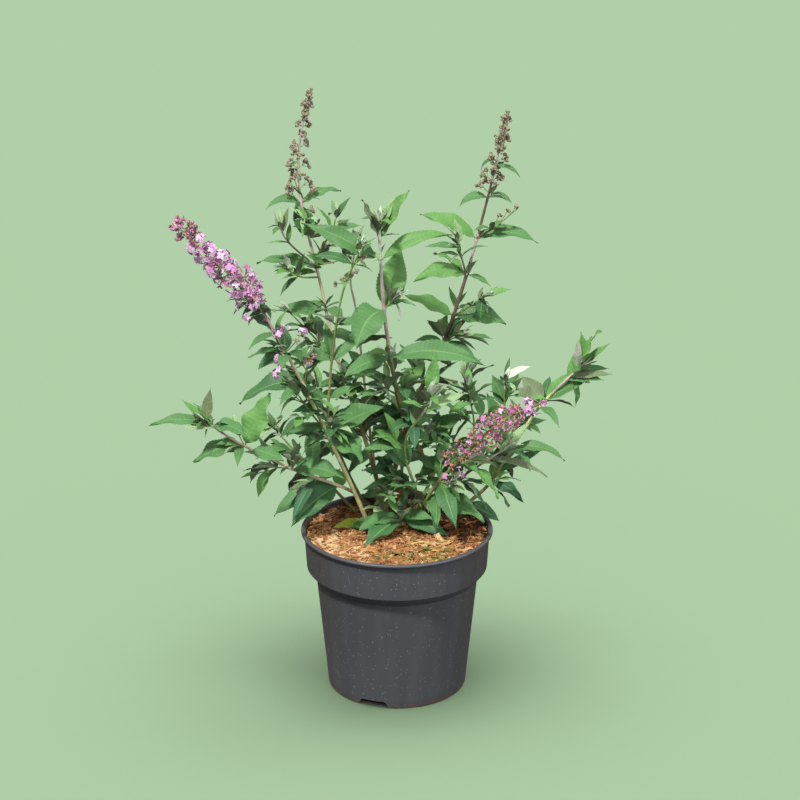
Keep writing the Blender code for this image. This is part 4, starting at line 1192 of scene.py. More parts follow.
def bud_template(length, girth, calyx_from):
    """A closed bud: a club-shaped head, and a calyx round its foot."""
    shape = Shape()
    shape.cone(0, 5, 0.35, girth, -length, -length * 0.28)
    shape.cone(0, 5, girth, girth * 0.4, -length * 0.28, 0.0)
    bmesh.ops.remove_doubles(shape.bm, verts=shape.bm.verts, dist=0.01)
    inner = [face for face in shape.bm.faces if len(face.verts) == 5
             and abs(face.calc_center_median().z + length * 0.28) < 0.01]
    bmesh.ops.delete(shape.bm, geom=inner, context="FACES_ONLY")
    shape.cone(1, 5, 0.4, girth * 0.9, -length * 1.08, -length * calyx_from)
    return shape.done()


FLORET = floret_template(0.12, 3.9, 3.5)
CUPPED = floret_template(0.85, 3.2, 2.9)
FADED = floret_template(1.4, 1.9, 2.0, 3.4)
CLOSED = bud_template(6.0, 1.05, 0.62)
ROSE = bud_template(3.4, 1.45, 0.5)
BUD = bud_template(2.5, 1.05, 0.45)

# Kinds of floret: its shape, how often it stands in a fresh, a faded and a closed cyme, and its materials.
Kind = namedtuple("Kind", "shape fresh faded closed faces tubes")
KINDS = (
    Kind(FLORET, 6, 0.5, 0, ("petal_pale", "petal_pale", "petal_pink"), ("floret_tube", "petal_deep")),
    Kind(CUPPED, 3, 0.6, 1, ("petal_pink", "petal_pale", "petal_deep"), ("floret_tube", "petal_deep")),
    Kind(CLOSED, 2.6, 0.8, 1.5, ("petal_deep", "petal_rose", "floret_tube"), ("calyx_green", "calyx_brown")),
    Kind(FADED, 0.3, 4.0, 0, ("petal_faded", "petal_faded", "petal_rose"), ("calyx_brown", "calyx_green")),
    Kind(ROSE, 0.2, 1.8, 7, ("petal_rose", "petal_rose", "petal_pink"), ("calyx_brown", "calyx_green")),
    Kind(BUD, 1.0, 4.6, 0.5, ("calyx_green", "calyx_brown"), ("calyx_green",)),
)


def add_floret(joined, place, aim, size, state, rng):
    """One floret of a drawn kind, its mouth at the place and its tube back towards the stalk."""
    kind = rng.choices(KINDS, [getattr(kind, state) for kind in KINDS])[0]
    turn = turned(aim, rng.uniform(0, 6.3))
    points = kind.shape.points * size * rng.uniform(0.85, 1.15) * MM
    slots = slots_in(FLOWER_MATERIALS, rng.choice(kind.faces), rng.choice(kind.tubes),
                     rng.choice(("calyx_green", "calyx_brown")), "floret_throat")
    joined.add(kind.shape, np.array(place) + points @ turn.T, slots)


def around(count, turn):
    """Directions spread evenly over a sphere."""
    for i in range(count):
        z = 1 - 2 * (i + 0.5) / count
        angle = i * math.pi * (3 - math.sqrt(5)) + turn
        level = math.sqrt(1 - z * z)
        yield Vector((level * math.cos(angle), level * math.sin(angle), z))


def stalk(joined, start, end, radius, slot):
    shape = tube(5, 3)
    middle = start.lerp(end, 0.5) - Vector((0, 0, (end - start).length * 0.06))
    points = tube_points(shape, [start, middle, end], [radius * MM, radius * 0.8 * MM, radius * 0.9 * MM])
    joined.add(shape, points, [slot])


def outward(foot, place, least):
    """The direction from a stalk's foot to its head, or upright where they nearly meet."""
    away = place - foot
    return away.normalized() if away.length > least else Vector((0, 0, 1))


def loosened(direction, rng, spread):
    return (direction + Vector([rng.uniform(-spread, spread) for _ in range(3)])).normalized()


def add_cyme(joined, foot, place, radius, state, count, rng):
    """A ball of florets on its stalk: fresh, faded or still closed."""
    out = outward(foot, place, MM)
    stalk(joined, foot, place, 0.6, *slots_in(FLOWER_MATERIALS, "calyx_green"))
    size = 1.4 if state == "closed" else min(1.0, radius / (9.5 * MM) * 0.4 + 0.6)
    for direction in around(count, rng.uniform(0, 6.3)):
        if direction.dot(out) < -0.45:
            continue
        aim = loosened(direction + out * 0.25, rng, 0.22)
        mouth = place + aim * radius * rng.uniform(0.72, 1.22)
        add_floret(joined, mouth, aim, size, state, rng)


# Side cymes by a flower spike: how far along its shoot, where they sit, their radius, state and florets.
SIDE_CYMES = {
    "left_flowering": (
        (258, (-127, -44, 431), 6.5, "fresh", 9), (256, (-120, -48, 436), 4.5, "fresh", 5),
        (250, (-110, -34, 418), 5.0, "faded", 12), (250, (-102, -32, 428), 5.5, "fresh", 7),
        (228, (-97, -29, 395), 5.0, "faded", 10), (228, (-90, -26, 399), 4.0, "closed", 6),
        (226, (-127, -46, 403), 6.0, "fresh", 10), (224, (-122, -44, 394), 6.0, "fresh", 9),
        (220, (-129, -46, 386), 5.0, "fresh", 7), (280, (-141, -38, 444), 3.5, "faded", 6),
        (305, (-158, -52, 452), 5.0, "fresh", 6), (309, (-167, -44, 462), 5.0, "fresh", 6),
        (312, (-148, -34, 478), 6.5, "fresh", 9), (441, (-219, -58, 550), 10.5, "closed", 54),
        (446, (-232, -58, 557), 8.5, "closed", 42), (436, (-229, -56, 540), 3.6, "closed", 8),
    ),
    "right_flowering": (
        (112, (56, -30, 261), 6.0, "fresh", 7), (118, (69, -34, 267), 6.0, "fresh", 7),
        (126, (58, -34, 276), 5.5, "faded", 12), (132, (54, -32, 286), 5.5, "faded", 12),
        (140, (60, -36, 292), 6.5, "faded", 16), (146, (72, -40, 290), 6.5, "faded", 16),
        (150, (70, -40, 304), 6.0, "faded", 14),
    ),
}
TIP_FROM = 0.84  # from here on the left spike's own cymes give way to the closed ones above

# Clusters beside the bud spikes: how far along their shoot, where they sit, their radius and buds.
BUD_CYMES = {
    "tall_left": (
        (384, (-116, 46, 564), 6.6, 34), (386, (-92, 48, 566), 6.8, 36), (376, (-94, 40, 545), 6.6, 34),
        (396, (-112, 44, 580), 5.0, 20),
    ),
    "tall_right": (
        (400, (92, 64, 567), 6.6, 34), (404, (104, 64, 571), 6.4, 32), (402, (112, 70, 573), 4.6, 18),
        (410, (98, 78, 568), 5.0, 20),
    ),
    "green_side": (
        (176, (-58, -22, 485), 4.2, 16), (198, (-44, -24, 495), 5.0, 20), (214, (-36, -22, 510), 5.0, 20),
        (176, (-66, -18, 479), 4.0, 14),
    ),
    "right_sprig": (
        (18, (113, 60, 534), 3.4, 12), (30, (122, 58, 540), 3.2, 11), (40, (131, 56, 545), 2.8, 9),
    ),
}
# The close-set head of a bud spike: its shoot, how long it is, and its half-width at its foot.
SPIKE_HEADS = {"tall_left": (36.0, 4.6), "tall_right": (46.0, 5.6)}


# How much bigger than its solid a cyme or a knot of buds is, and how far out of it it sits.
CYME_GROWTH = 1.08
CYME_SHIFT = 0.24
KNOT_GROWTH = 2.05
KNOT_SHIFT = 0.3
BUD_SIZE = 1.32  # a bud of a cluster over one of a spike's head


def flower_panicle(stem, start, balls, side, rng):
    """A panicle and the side cymes by it: fresh to near its tip on the left, mostly faded on the right."""
    joined = Joined()
    for _, place, radius in balls:
        base = nearest_place(stem, place)
        along = (base - start) / (stem.route.length - start)
        if side == "left" and along > TIP_FROM:
            continue
        foot = stem.route.point(base - 2 * MM)
        fresh = 1.0 if side == "left" else 0.75 if along > 0.72 else 0.12
        state = "fresh" if rng.random() < fresh else "faded"
        each = 1.2 if state == "fresh" else 3.0
        place = place + (place - stem.route.point(base)) * CYME_SHIFT
        count = 6 + round(each * radius / MM * 0.8)
        add_cyme(joined, foot, place, radius * CYME_GROWTH, state, count, rng)
    for at, place, radius, state, count in SIDE_CYMES[stem.shoot.name]:
        add_cyme(joined, stem.route.point(at * MM), Vector(place) * MM, radius * MM, state, count, rng)
    return joined


def nearest_place(stem, point):
    steps = 160
    places = [stem.route.length * i / steps for i in range(steps + 1)]
    return min(places, key=lambda place: (stem.route.point(place) - point).length)


BUD_FACES = ("bud_beige", "bud_beige", "bud_mauve", "bud_green", "bud_dark")
BUD_CALYCES = ("bud_green", "bud_beige", "bud_dark")


def add_bud(joined, place, aim, scale, rng):
    slots = slots_in(BUD_MATERIALS, rng.choice(BUD_FACES), rng.choice(BUD_CALYCES))
    points = BUD.points * scale * rng.uniform(0.8, 1.15) * MM
    joined.add(BUD, np.array(place) + points @ turned(aim, rng.uniform(0, 6.3)).T, slots)


def add_bud_cluster(joined, foot, place, radius, count, rng):
    """A forked, flat-topped cluster: a middle head of buds and three round it."""
    slot = BUD_MATERIALS.index("bud_green")
    out = outward(foot, place, 0.5 * MM)
    fork = place - out * radius * 0.6
    stalk(joined, foot, fork, 0.55, slot)
    turn = turned(out, rng.uniform(0, 6.3))
    heads = [place + out * radius * 0.2]
    for i in range(3):
        beside = Vector(turn @ (math.cos(2.1 * i), math.sin(2.1 * i), 0.12))
        heads.append(place + beside * radius * rng.uniform(0.5, 0.72))
    for head in heads:
        stalk(joined, fork, head, 0.38, slot)
        for direction in around(max(4, round(count / 3)), rng.uniform(0, 6.3)):
            if direction.dot(out) < -0.35:
                continue
            aim = loosened(direction + out * 0.5, rng, 0.3)
            add_bud(joined, head + aim * radius * rng.uniform(0.26, 0.56), aim, BUD_SIZE, rng)


def add_spike_head(joined, stem, length, half_width, rng):
    """Buds set close round the top of a spike, in small lumps that shrink towards its tip."""
    rows = round(length / 1.8)
    for i in range(rows):
        f = i / (rows - 1)
        distance = stem.route.length - (1 - f) * length * MM
        onward = stem.route.direction(distance)
        width = half_width * (1 - 0.45 * f ** 2) * (0.8 + 0.35 * math.sin(i * 1.7) ** 2)
        for j in range(9):
            aim = aim_from(onward, 40 * j + 35 * i + rng.uniform(-20, 20), rng.uniform(34, 66))
            reach = max(1.1, width - 0.3) * rng.uniform(0.85, 1.1)
            add_bud(joined, stem.route.point(distance) + aim * reach * MM, aim, 1.0, rng)


def bud_clusters(shoots, knots, rng):
    """The buds of a spike's knots and head, and of the clusters on the given shoots."""
    joined = Joined()
    for foot, place, radius in knots:
        count = 16 + round(radius / MM * 6.0)
        place = place + (place - foot) * KNOT_SHIFT
        add_bud_cluster(joined, foot, place, radius * KNOT_GROWTH, count, rng)
    for name, stem in shoots.items():
        if name in SPIKE_HEADS:
            add_spike_head(joined, stem, *SPIKE_HEADS[name], rng)
        for at, place, radius, count in BUD_CYMES[name]:
            foot = stem.route.point(at * MM)
            add_bud_cluster(joined, foot, Vector(place) * MM, radius * MM, count, rng)
    return joined


def paint(red, green, blue):
    """A display colour, 0 to 255, as the linear colour that shaders take."""
    shares = (red / 255, green / 255, blue / 255)
    return tuple(c / 12.92 if c <= 0.04045 else ((c + 0.055) / 1.055) ** 2.4 for c in shares)


def shaded(colour, factor):
    """A lighter or darker version of a linear colour, with the alpha that sockets take."""
    return (*(min(1.0, c * factor) for c in colour[:3]), 1.0)


class Nodes:
    """Adds nodes to one tree and links what they are given."""

    def __init__(self, tree):
        self.tree = tree

    def add(self, kind, inputs=None, **settings):
        node = self.tree.nodes.new("ShaderNode" + kind)
        for name, value in settings.items():
            setattr(node, name, value)
        for name, value in (inputs or {}).items():
            self.feed(node.inputs[name], value)
        return node

    def feed(self, socket, value):
        if isinstance(value, bpy.types.NodeSocket):
            self.tree.links.new(value, socket)
        else:
            socket.default_value = value

    def math(self, operation, *values):
        return self.add("Math", dict(enumerate(values)), operation=operation).outputs[0]

    def times(self, one, other):
        return self.math("MULTIPLY", one, other)

    def mix(self, factor, low, high):
        return self.add("Mix", {0: factor, 6: low, 7: high}, data_type="RGBA").outputs[2]

    def over(self, base, amount, share, colour):
        """The colour laid over the base by a share of the amount."""
        return self.mix(self.times(amount, share), base, colour)

    def span(self, value, low, high, to_low=0.0, to_high=1.0):
        ends = {"Value": value, "From Min": low, "From Max": high, "To Min": to_low, "To Max": to_high}
        return self.add("MapRange", ends, interpolation_type="SMOOTHSTEP").outputs["Result"]

    def noise(self, vector, scale, detail=2.0):
        return self.add("TexNoise", {"Vector": vector, "Scale": scale, "Detail": detail}).outputs["Fac"]

    def place(self):
        return self.add("TexCoord").outputs["Object"]

    def stretched(self, vector, scale):
        return self.add("VectorMath", {0: vector, 1: scale}, operation="MULTIPLY").outputs[0]

    def split(self, vector):
        return self.add("SeparateXYZ", {0: vector}).outputs

    def surface(self):
        return self.add("UVMap", uv_map="Surface").outputs["UV"]

    def filled(self, tree, inputs):
        node = self.add("Group", None, node_tree=tree)
        for name, value in inputs.items():
            self.feed(node.inputs[name], value)
        return node


def shader_group(name, inputs, outputs, make):
    """A shared effect. `inputs` are numbers with their defaults, and `make` returns the outputs."""
    tree = bpy.data.node_groups.new(name, "ShaderNodeTree")
    for socket, value in inputs.items():
        made = tree.interface.new_socket(name=socket, in_out="INPUT", socket_type="NodeSocketFloat")
        made.default_value = value
    for socket in outputs:
        tree.interface.new_socket(name=socket, in_out="OUTPUT", socket_type="NodeSocketFloat")
    enter = tree.nodes.new("NodeGroupInput")
    leave = tree.nodes.new("NodeGroupOutput")
    for socket, value in make(Nodes(tree), enter.outputs).items():
        tree.links.new(value, leave.inputs[socket])
    return tree


def leaf_surface_group():
    """Side veins that sweep forward from the midrib, the net between them, and cloudy blotches."""

    def make(nodes, given):
        parts = nodes.split(nodes.surface())
        out = nodes.math("ABSOLUTE", parts[0])
        ripple = nodes.noise(nodes.place(), 160.0)
        phase = nodes.math("SUBTRACT", parts[1], nodes.times(out, 0.62))
        phase = nodes.math("ADD", phase, nodes.times(ripple, 0.25))
        away = nodes.math("ABSOLUTE", nodes.math("SUBTRACT", nodes.math("FRACT", phase), 0.5))
        vein = nodes.span(away, 0.0, 0.13, 1.0, 0.0)
        vein = nodes.times(vein, nodes.span(out, 0.75, 1.0, 1.0, 0.35))
        net = nodes.add("TexVoronoi", {"Vector": nodes.place(), "Scale": 620.0},
                        feature="DISTANCE_TO_EDGE").outputs["Distance"]
        net = nodes.span(net, 0.0, 0.11, 1.0, 0.0)
        rib = nodes.span(out, 0.02, 0.11, 1.0, 0.0)
        lines = nodes.math("MAXIMUM", vein, nodes.times(net, given["Net"]))
        puff = nodes.span(away, 0.0, 0.5, 0.0, 0.8)
        height = nodes.math("SUBTRACT", puff, nodes.times(net, 0.25))
        height = nodes.math("SUBTRACT", height, nodes.times(rib, 0.6))
        return {"Veins": lines, "Midrib": rib, "Blotch": nodes.noise(nodes.place(), 55.0, 3.0),
                "Height": height}

    return shader_group("Leaf Surface", {"Net": 0.45}, ("Veins", "Midrib", "Blotch", "Height"), make)


def bark_grain_group():
    """Fibres that run along a stem, with pale corky dots. Reads places in millimetres."""

    def make(nodes, given):
        squeeze = nodes.add("CombineXYZ", {0: 1.0, 1: given["Stretch"], 2: 1.0}).outputs[0]
        along = nodes.stretched(nodes.surface(), squeeze)
        fibres = nodes.span(nodes.noise(along, given["Scale"], 4.0), 0.34, 0.66)
        patches = nodes.span(nodes.noise(nodes.place(), 90.0, 3.0), 0.38, 0.62)
        dots = nodes.add("TexVoronoi", {"Vector": nodes.surface(), "Scale": 0.42}).outputs["Distance"]
        dots = nodes.span(dots, 0.10, 0.2, 1.0, 0.0)
        return {"Fibres": fibres, "Patches": patches, "Dots": dots}

    return shader_group("Bark Grain", {"Scale": 1.6, "Stretch": 0.12}, ("Fibres", "Patches", "Dots"), make)


def mottle_group():
    """Soft clouds with finer grain in them, in the piece's own place."""

    def make(nodes, given):
        clouds = nodes.span(nodes.noise(nodes.place(), given["Scale"], 2.0), 0.36, 0.64)
        fine = nodes.noise(nodes.place(), nodes.times(given["Scale"], 6.0), 3.0)
        return {"Clouds": clouds, "Grain": nodes.span(fine, 0.3, 0.7)}

    return shader_group("Mottle", {"Scale": 300.0}, ("Clouds", "Grain"), make)


def speck_layer(nodes, vector, scale, rarity, inner, outer):
    """Round specks, one in each of the few cells that draw more than the rarity."""
    cells = nodes.add("TexVoronoi", {"Vector": vector, "Scale": scale}).outputs
    chance = nodes.span(nodes.add("SeparateColor", {0: cells["Color"]}).outputs[0], rarity, rarity + 0.04)
    return nodes.times(nodes.span(cells["Distance"], inner, outer, 1.0, 0.0), chance)


def moulded_group():
    """Streaks down a thin moulded wall, fine scratches, and specks of dust. Height is up +Z."""

    def make(nodes, given):
        down = nodes.stretched(nodes.place(), (1.0, 1.0, 0.06))
        streaks = nodes.span(nodes.noise(down, given["Streaks"], 4.0), 0.35, 0.65)
        grain = nodes.noise(nodes.stretched(nodes.place(), (1.0, 1.0, 0.25)), 900.0, 3.0)
        skew = nodes.add("VectorRotate", {"Vector": nodes.place(), "Axis": (0.3, 1.0, 0.2), "Angle": 0.22})
        thin = nodes.stretched(skew.outputs[0], (1.0, 1.0, 0.045))
        scratches = speck_layer(nodes, thin, 420.0, 0.66, 0.07, 0.15)
        specks = nodes.math("MAXIMUM", speck_layer(nodes, nodes.place(), 190.0, 0.74, 0.078, 0.13),
                            speck_layer(nodes, nodes.place(), 420.0, 0.8, 0.132, 0.22))
        return {"Streaks": streaks, "Grain": grain, "Scratches": scratches, "Specks": specks}

    outputs = ("Streaks", "Grain", "Scratches", "Specks")
    return shader_group("Moulded Wall", {"Streaks": 45.0}, outputs, make)


GROUPS = {}
GROUP_MAKERS = {"leaf": leaf_surface_group, "bark": bark_grain_group, "mottle": mottle_group,
                "moulded": moulded_group}


def shared(name):
    if name not in GROUPS:
        GROUPS[name] = GROUP_MAKERS[name]()
    return GROUPS[name]


def finish_of(name, roughness, constants=None):
    """A new material: its nodes and its Principled shader, with the constants on the shader's sockets."""
    material = bpy.data.materials.new(name)
    material.use_nodes = True
    shader = material.node_tree.nodes["Principled BSDF"]
    shader.inputs["Roughness"].default_value = roughness
    for socket, value in (constants or {}).items():
        shader.inputs[socket].default_value = value
    return material, Nodes(material.node_tree), shader


def raise_surface(nodes, shader, height, strength, distance):
    """Feeds a height to the shader's normal. The distance is in millimetres."""
    bump = nodes.add("Bump", {"Strength": strength, "Distance": distance * MM, "Height": height})
    nodes.feed(shader.inputs["Normal"], bump.outputs["Normal"])


def leaf_finish(name, colour, vein_factor, roughness, fuzz):
    """A blade's face: cloudy green, darker or paler along its veins, and quilted between them."""
    material, nodes, shader = finish_of(name, roughness, {"Sheen Weight": fuzz, "Sheen Roughness": 0.5,
                                                          "Specular IOR Level": 0.35})
    surface = nodes.filled(shared("leaf"), {"Net": 0.4}).outputs
    blotched = nodes.mix(surface["Blotch"], shaded(colour, 0.76), shaded(colour, 1.24))
    veins = nodes.times(surface["Veins"], 0.4)
    nodes.feed(shader.inputs["Base Color"], nodes.mix(veins, blotched, shaded(colour, vein_factor)))
    nodes.feed(shader.inputs["Roughness"], nodes.span(surface["Blotch"], 0.3, 0.7, roughness - 0.08,
                                                      roughness + 0.1))
    raise_surface(nodes, shader, surface["Height"], 0.4, 0.35)
    return material


def bark_finish(name, colour, roughness, depth):
    """A stem's skin: fibres and patches along it, with a few corky dots."""
    material, nodes, shader = finish_of(name, roughness, {"Specular IOR Level": 0.3})
    grain = nodes.filled(shared("bark"), {"Scale": 1.6, "Stretch": 0.1}).outputs
    base = nodes.mix(grain["Patches"], shaded(colour, 0.84), shaded(colour, 1.24))
    base = nodes.over(base, grain["Fibres"], 0.35, shaded(colour, 0.6))
    base = nodes.over(base, grain["Dots"], 0.5, shaded(colour, 1.7))
    nodes.feed(shader.inputs["Base Color"], base)
    height = nodes.math("ADD", grain["Fibres"], grain["Dots"])
    raise_surface(nodes, shader, height, depth, 0.3)
    return material


def soft_finish(name, colour, roughness, scale, contrast, sheen=0.0):
    """Petals, buds and mulch: clouds of lighter and darker colour with a fine grain."""
    material, nodes, shader = finish_of(name, roughness, {"Sheen Weight": sheen, "Specular IOR Level": 0.3})
    mottle = nodes.filled(shared("mottle"), {"Scale": scale}).outputs
    base = nodes.mix(mottle["Clouds"], shaded(colour, 1 - contrast), shaded(colour, 1 + contrast))
    base = nodes.over(base, mottle["Grain"], 0.35, shaded(colour, 1 - 1.6 * contrast))
    nodes.feed(shader.inputs["Base Color"], base)
    raise_surface(nodes, shader, mottle["Grain"], 0.35, 0.25)
    return material


def pot_finish(name, colour, flank_shade_colour, gloss):
    """Thin black plastic: faint streaks down it, scratches, dust, and painted shade, warmer at its flanks."""
    material, nodes, shader = finish_of(name, gloss)
    wall = nodes.filled(shared("moulded"), {"Streaks": 60.0}).outputs
    # Painted shade: towards its left and right flanks the wall turns to the warmer, darker flank colour.
    across, _, height = nodes.split(nodes.place())
    across = nodes.math("ABSOLUTE", across)
    base = nodes.mix(nodes.span(across, 0.055, 0.1), shaded(colour, 1.0), shaded(flank_shade_colour, 1.0))
    base = nodes.over(base, wall["Streaks"], 0.3, shaded(colour, 1.3))
    base = nodes.over(base, wall["Scratches"], 0.75, shaded(colour, 2.8))
    base = nodes.over(base, wall["Specks"], 0.85, shaded(paint(170, 170, 168), 1.0))
    dusty = nodes.times(nodes.span(height, 0.001, 0.007, 0.8, 0.0), wall["Streaks"])
    base = nodes.mix(dusty, base, shaded(paint(128, 88, 66), 1.0))
    nodes.feed(shader.inputs["Base Color"], base)
    rough = nodes.span(wall["Streaks"], 0.0, 1.0, gloss - 0.05, gloss + 0.1)
    rough = nodes.math("ADD", rough, nodes.times(wall["Specks"], 0.2))
    nodes.feed(shader.inputs["Roughness"], rough)
    relief = nodes.math("ADD", nodes.times(wall["Grain"], 0.3), wall["Streaks"])
    raise_surface(nodes, shader, relief, 0.25, 0.25)
    return material


POT_SIDES = 144
BODY_ROWS = [(78.6 + (BODY_RADIUS - 78.6) * (h - 1.8) / (BODY_TOP - 1.8), h)
             for h in (10.0, 30.0, 50.0, 70.0, 90.0, 110.0, BODY_TOP - 2, BODY_TOP)]
# The outer side from under the body's foot to under the lip: radius and height.
POT_SIDE = (
    (74.0, 0.0), (77.4, 0.1), (78.2, 0.6), (78.6, 1.8), *BODY_ROWS,
    (91.4, BODY_TOP + 2.0), (91.6, BODY_TOP + 3.4), (92.4, BODY_TOP + 3.2), (93.4, BODY_TOP + 3.8),
    (97.4, 138.6), (COLLAR_RADIUS - 0.5, COLLAR_FOOT - 0.3), (COLLAR_RADIUS, COLLAR_FOOT + 0.3),
    (102.3, 150.0), (102.9, 160.0), (103.5, 171.0), (104.1, 182.6), (104.4, 183.8),
)
POT_LIP = (
    (105.6, 184.0), (107.0, 184.1), (107.8, 184.9), (108.0, 186.0), (107.7, 187.1), (106.9, 187.8),
    (105.8, 188.0), (104.4, 187.9), (103.3, 187.4), (102.8, 186.4),
)


def lathe(profile, steps):
    """The (radius, height) profile in millimetres, turned once round the axis."""
    bm = bmesh.new()
    ring = [bm.verts.new((radius * MM, 0.0, height * MM)) for radius, height in profile]
    edges = [bm.edges.new(pair) for pair in zip(ring, ring[1:])]
    bmesh.ops.spin(bm, geom=ring + edges, cent=(0, 0, 0), axis=(0, 0, 1), angle=2 * math.pi,
                   steps=steps, use_merge=True)
    bmesh.ops.remove_doubles(bm, verts=bm.verts, dist=1e-6)
    bmesh.ops.recalc_face_normals(bm, faces=bm.faces)
    return bm


def mesh_piece(name, bm, materials, smooth_degrees=35):
    mesh = bpy.data.meshes.new(name)
    bm.to_mesh(mesh)
    bm.free()
    mesh.shade_smooth()
    mesh.set_sharp_from_angle(angle=math.radians(smooth_degrees))
    for material in materials:
        mesh.materials.append(material)
    return add_piece(name, mesh)


def notch_cutter(angle):
    """A block with sloped sides, wider at the ground, set through the wall at the foot."""
    bm = bmesh.new()
    bmesh.ops.create_cube(bm, size=1.0)
    bmesh.ops.scale(bm, vec=(14 * MM, NOTCH_WIDTH * MM, (NOTCH_HEIGHT + 2) * MM), verts=bm.verts)
    top = [vert for vert in bm.verts if vert.co.z > 0]
    bmesh.ops.scale(bm, vec=(1.0, 0.7, 1.0), verts=top)
    bmesh.ops.bevel(bm, geom=[edge for edge in bm.edges if all(vert in top for vert in edge.verts)
                              and abs(edge.verts[0].co.y - edge.verts[1].co.y) < 1e-6],
                    offset=2.5 * MM, affect="EDGES", segments=4, profile=0.5, material=-1)
    place = Vector(((FOOT_RADIUS + 1) * MM, 0.0, (NOTCH_HEIGHT - 2) / 2 * MM))
    bmesh.ops.translate(bm, vec=place, verts=bm.verts)
    bmesh.ops.rotate(bm, cent=(0, 0, 0), matrix=Matrix.Rotation(angle, 3, "Z"), verts=bm.verts)
    mesh = bpy.data.meshes.new("notch")
    bm.to_mesh(mesh)
    bm.free()
    return add_piece("notch", mesh)


def cut(piece, cutters):
    """Takes the cutters out of the piece for good, and removes them."""
    for cutter in cutters:
        modifier = piece.modifiers.new("cut", "BOOLEAN")
        modifier.operation = "DIFFERENCE"
        modifier.solver = "MANIFOLD"
        modifier.object = cutter
    bpy.context.view_layer.update()
    done = bpy.data.meshes.new_from_object(piece.evaluated_get(bpy.context.evaluated_depsgraph_get()))
    done.name = piece.data.name + "_cut"
    piece.modifiers.clear()
    piece.data = done
    for cutter in cutters:
        bpy.data.objects.remove(cutter, do_unlink=True)


def build_pot(materials):
    inside = [(radius - POT_WALL, height) for radius, height in POT_SIDE if height > 8]
    inside = [(inside[0][0], FLOOR + 0.4), *inside[:-1], (102.6, 184.6)]
    profile = [(0.0, 0.0), *POT_SIDE, *POT_LIP, *reversed(inside), (76.0, FLOOR), (0.0, FLOOR)]
    pot = mesh_piece("pot_shell", lathe(profile, POT_SIDES), materials)
    cut(pot, [notch_cutter(math.radians(angle)) for angle in NOTCH_ANGLES])
    return pot


MULCH_MATERIALS = (
    "mulch_orange", "mulch_tan", "mulch_pale", "mulch_brown", "mulch_dark", "mulch_moss", "mulch_straw",
)
BED_RADIUS = 100.6
BED_SIDES = 96
WALL_INSIDE = 101.9  # chips stay within this radius
HEAP = 3.6  # how much higher the mulch lies at the front than at the back


def bed_height(x, y):
    """The mulch surface's height in millimetres: heaped up to the lip in front, lower at the back."""
    wave = noise.noise(Vector((x / 24, y / 24, 3.1))) * 2.0
    wave += noise.noise(Vector((x / 9, y / 9, 7.7))) * 1.4
    front = max(0.0, min(1.0, (50 - y) / 110))
    return SOIL_TOP + 0.4 + wave + HEAP * front


def build_bed():
    rim = ((0.0, SOIL_EDGE - 6), (96.0, SOIL_EDGE - 6), (99.6, SOIL_EDGE - 2), (BED_RADIUS, SOIL_TOP - 2.4))
    bm = lathe((*rim, *((radius, SOIL_TOP) for radius in range(96, 0, -4)), (0.0, SOIL_TOP)), BED_SIDES)
    for vert in bm.verts:
        if vert.co.z > (SOIL_TOP - 1) * MM and math.hypot(vert.co.x, vert.co.y) < 98 * MM:
            vert.co.z = bed_height(vert.co.x / MM, vert.co.y / MM) * MM
    return bm


# Patches of one colour on the bed: where, how wide, the share of pieces that take it, and the colour.
# The dark and brown patches on the right paint the plant's shadow there.
PATCHES = (
    (39, -68, 24, 0.5, "mulch_moss"), (-5, -79, 19, 0.4, "mulch_moss"), (37, -29, 13, 0.5, "mulch_pale"),
    (74, 34, 36, 0.5, "mulch_dark"), (60, 10, 34, 0.5, "mulch_brown"), (-60, -62, 22, 0.35, "mulch_pale"),
    (12, -44, 12, 0.3, "mulch_straw"),
)


def mulch_tone(x, y, rng):
    """Paler at the front left and darker behind and to the right: painted light and painted shade on the bed.
    """
    for middle_x, middle_y, reach, share, tone in PATCHES:
        if math.hypot(x - middle_x, y - middle_y) < reach and rng.random() < share:
            return tone
    # light: painted light, high at the front left and falling into painted shade behind and to the right.
    light = max(0.0, min(1.0, 0.62 - y / 190 - x / 320))
    names = ("mulch_orange", "mulch_tan", "mulch_pale", "mulch_straw", "mulch_brown", "mulch_dark")
    weights = (3.2 * light, 3.6 * light + 0.6, 2.9 * light ** 2, 1.3 * light, 2.2 * (1 - light) + 0.5,
               2.8 * (1 - light) ** 2 + 0.4)
    return rng.choices(names, weights)[0]


def settle(points):
    """Moves a chip in from the pot's wall, if it reaches it."""
    reach = np.hypot(points[:, 0], points[:, 1]).max()
    if reach > WALL_INSIDE * MM:
        middle = points.mean(axis=0)
        level = math.hypot(middle[0], middle[1])
        points[:, :2] -= middle[:2] / level * (reach - WALL_INSIDE * MM)
    return points


def scatter(rng, count, feet, clear):
    """Seeded places on the bed, clear of the stems' feet."""
    found = 0
    while found < count:
        radius = WALL_INSIDE * math.sqrt(rng.random())
        angle = rng.uniform(0, 2 * math.pi)
        x, y = radius * math.cos(angle), radius * math.sin(angle)
        if any((x - foot[0]) ** 2 + (y - foot[1]) ** 2 < clear ** 2 for foot in feet):
            continue
        found += 1
        yield x, y


def chip_template():
    """A split sliver of wood: a slab that narrows towards both ends, with a wavy edge, bowed and tilted
    across.
    """
    bm = bmesh.new()
    bmesh.ops.create_cube(bm, size=1.0)
    bmesh.ops.subdivide_edges(bm, edges=[edge for edge in bm.edges
                                         if abs(edge.verts[0].co.x - edge.verts[1].co.x) > 0.5], cuts=2)
    for vert in bm.verts:
        vert.co.y *= 1.0 - 0.35 * abs(vert.co.x * 2) ** 2 + 0.12 * math.sin(vert.co.x * 9)
        vert.co.z += 0.25 * math.cos(vert.co.x * 4) + 0.18 * vert.co.y
    return template(bm)


def crumb_template():
    bm = bmesh.new()
    bmesh.ops.create_icosphere(bm, subdivisions=1, radius=1.0)
    for vert in bm.verts:
        vert.co *= 1.0 + 0.35 * noise.noise(vert.co * 2.3)
    return template(bm)


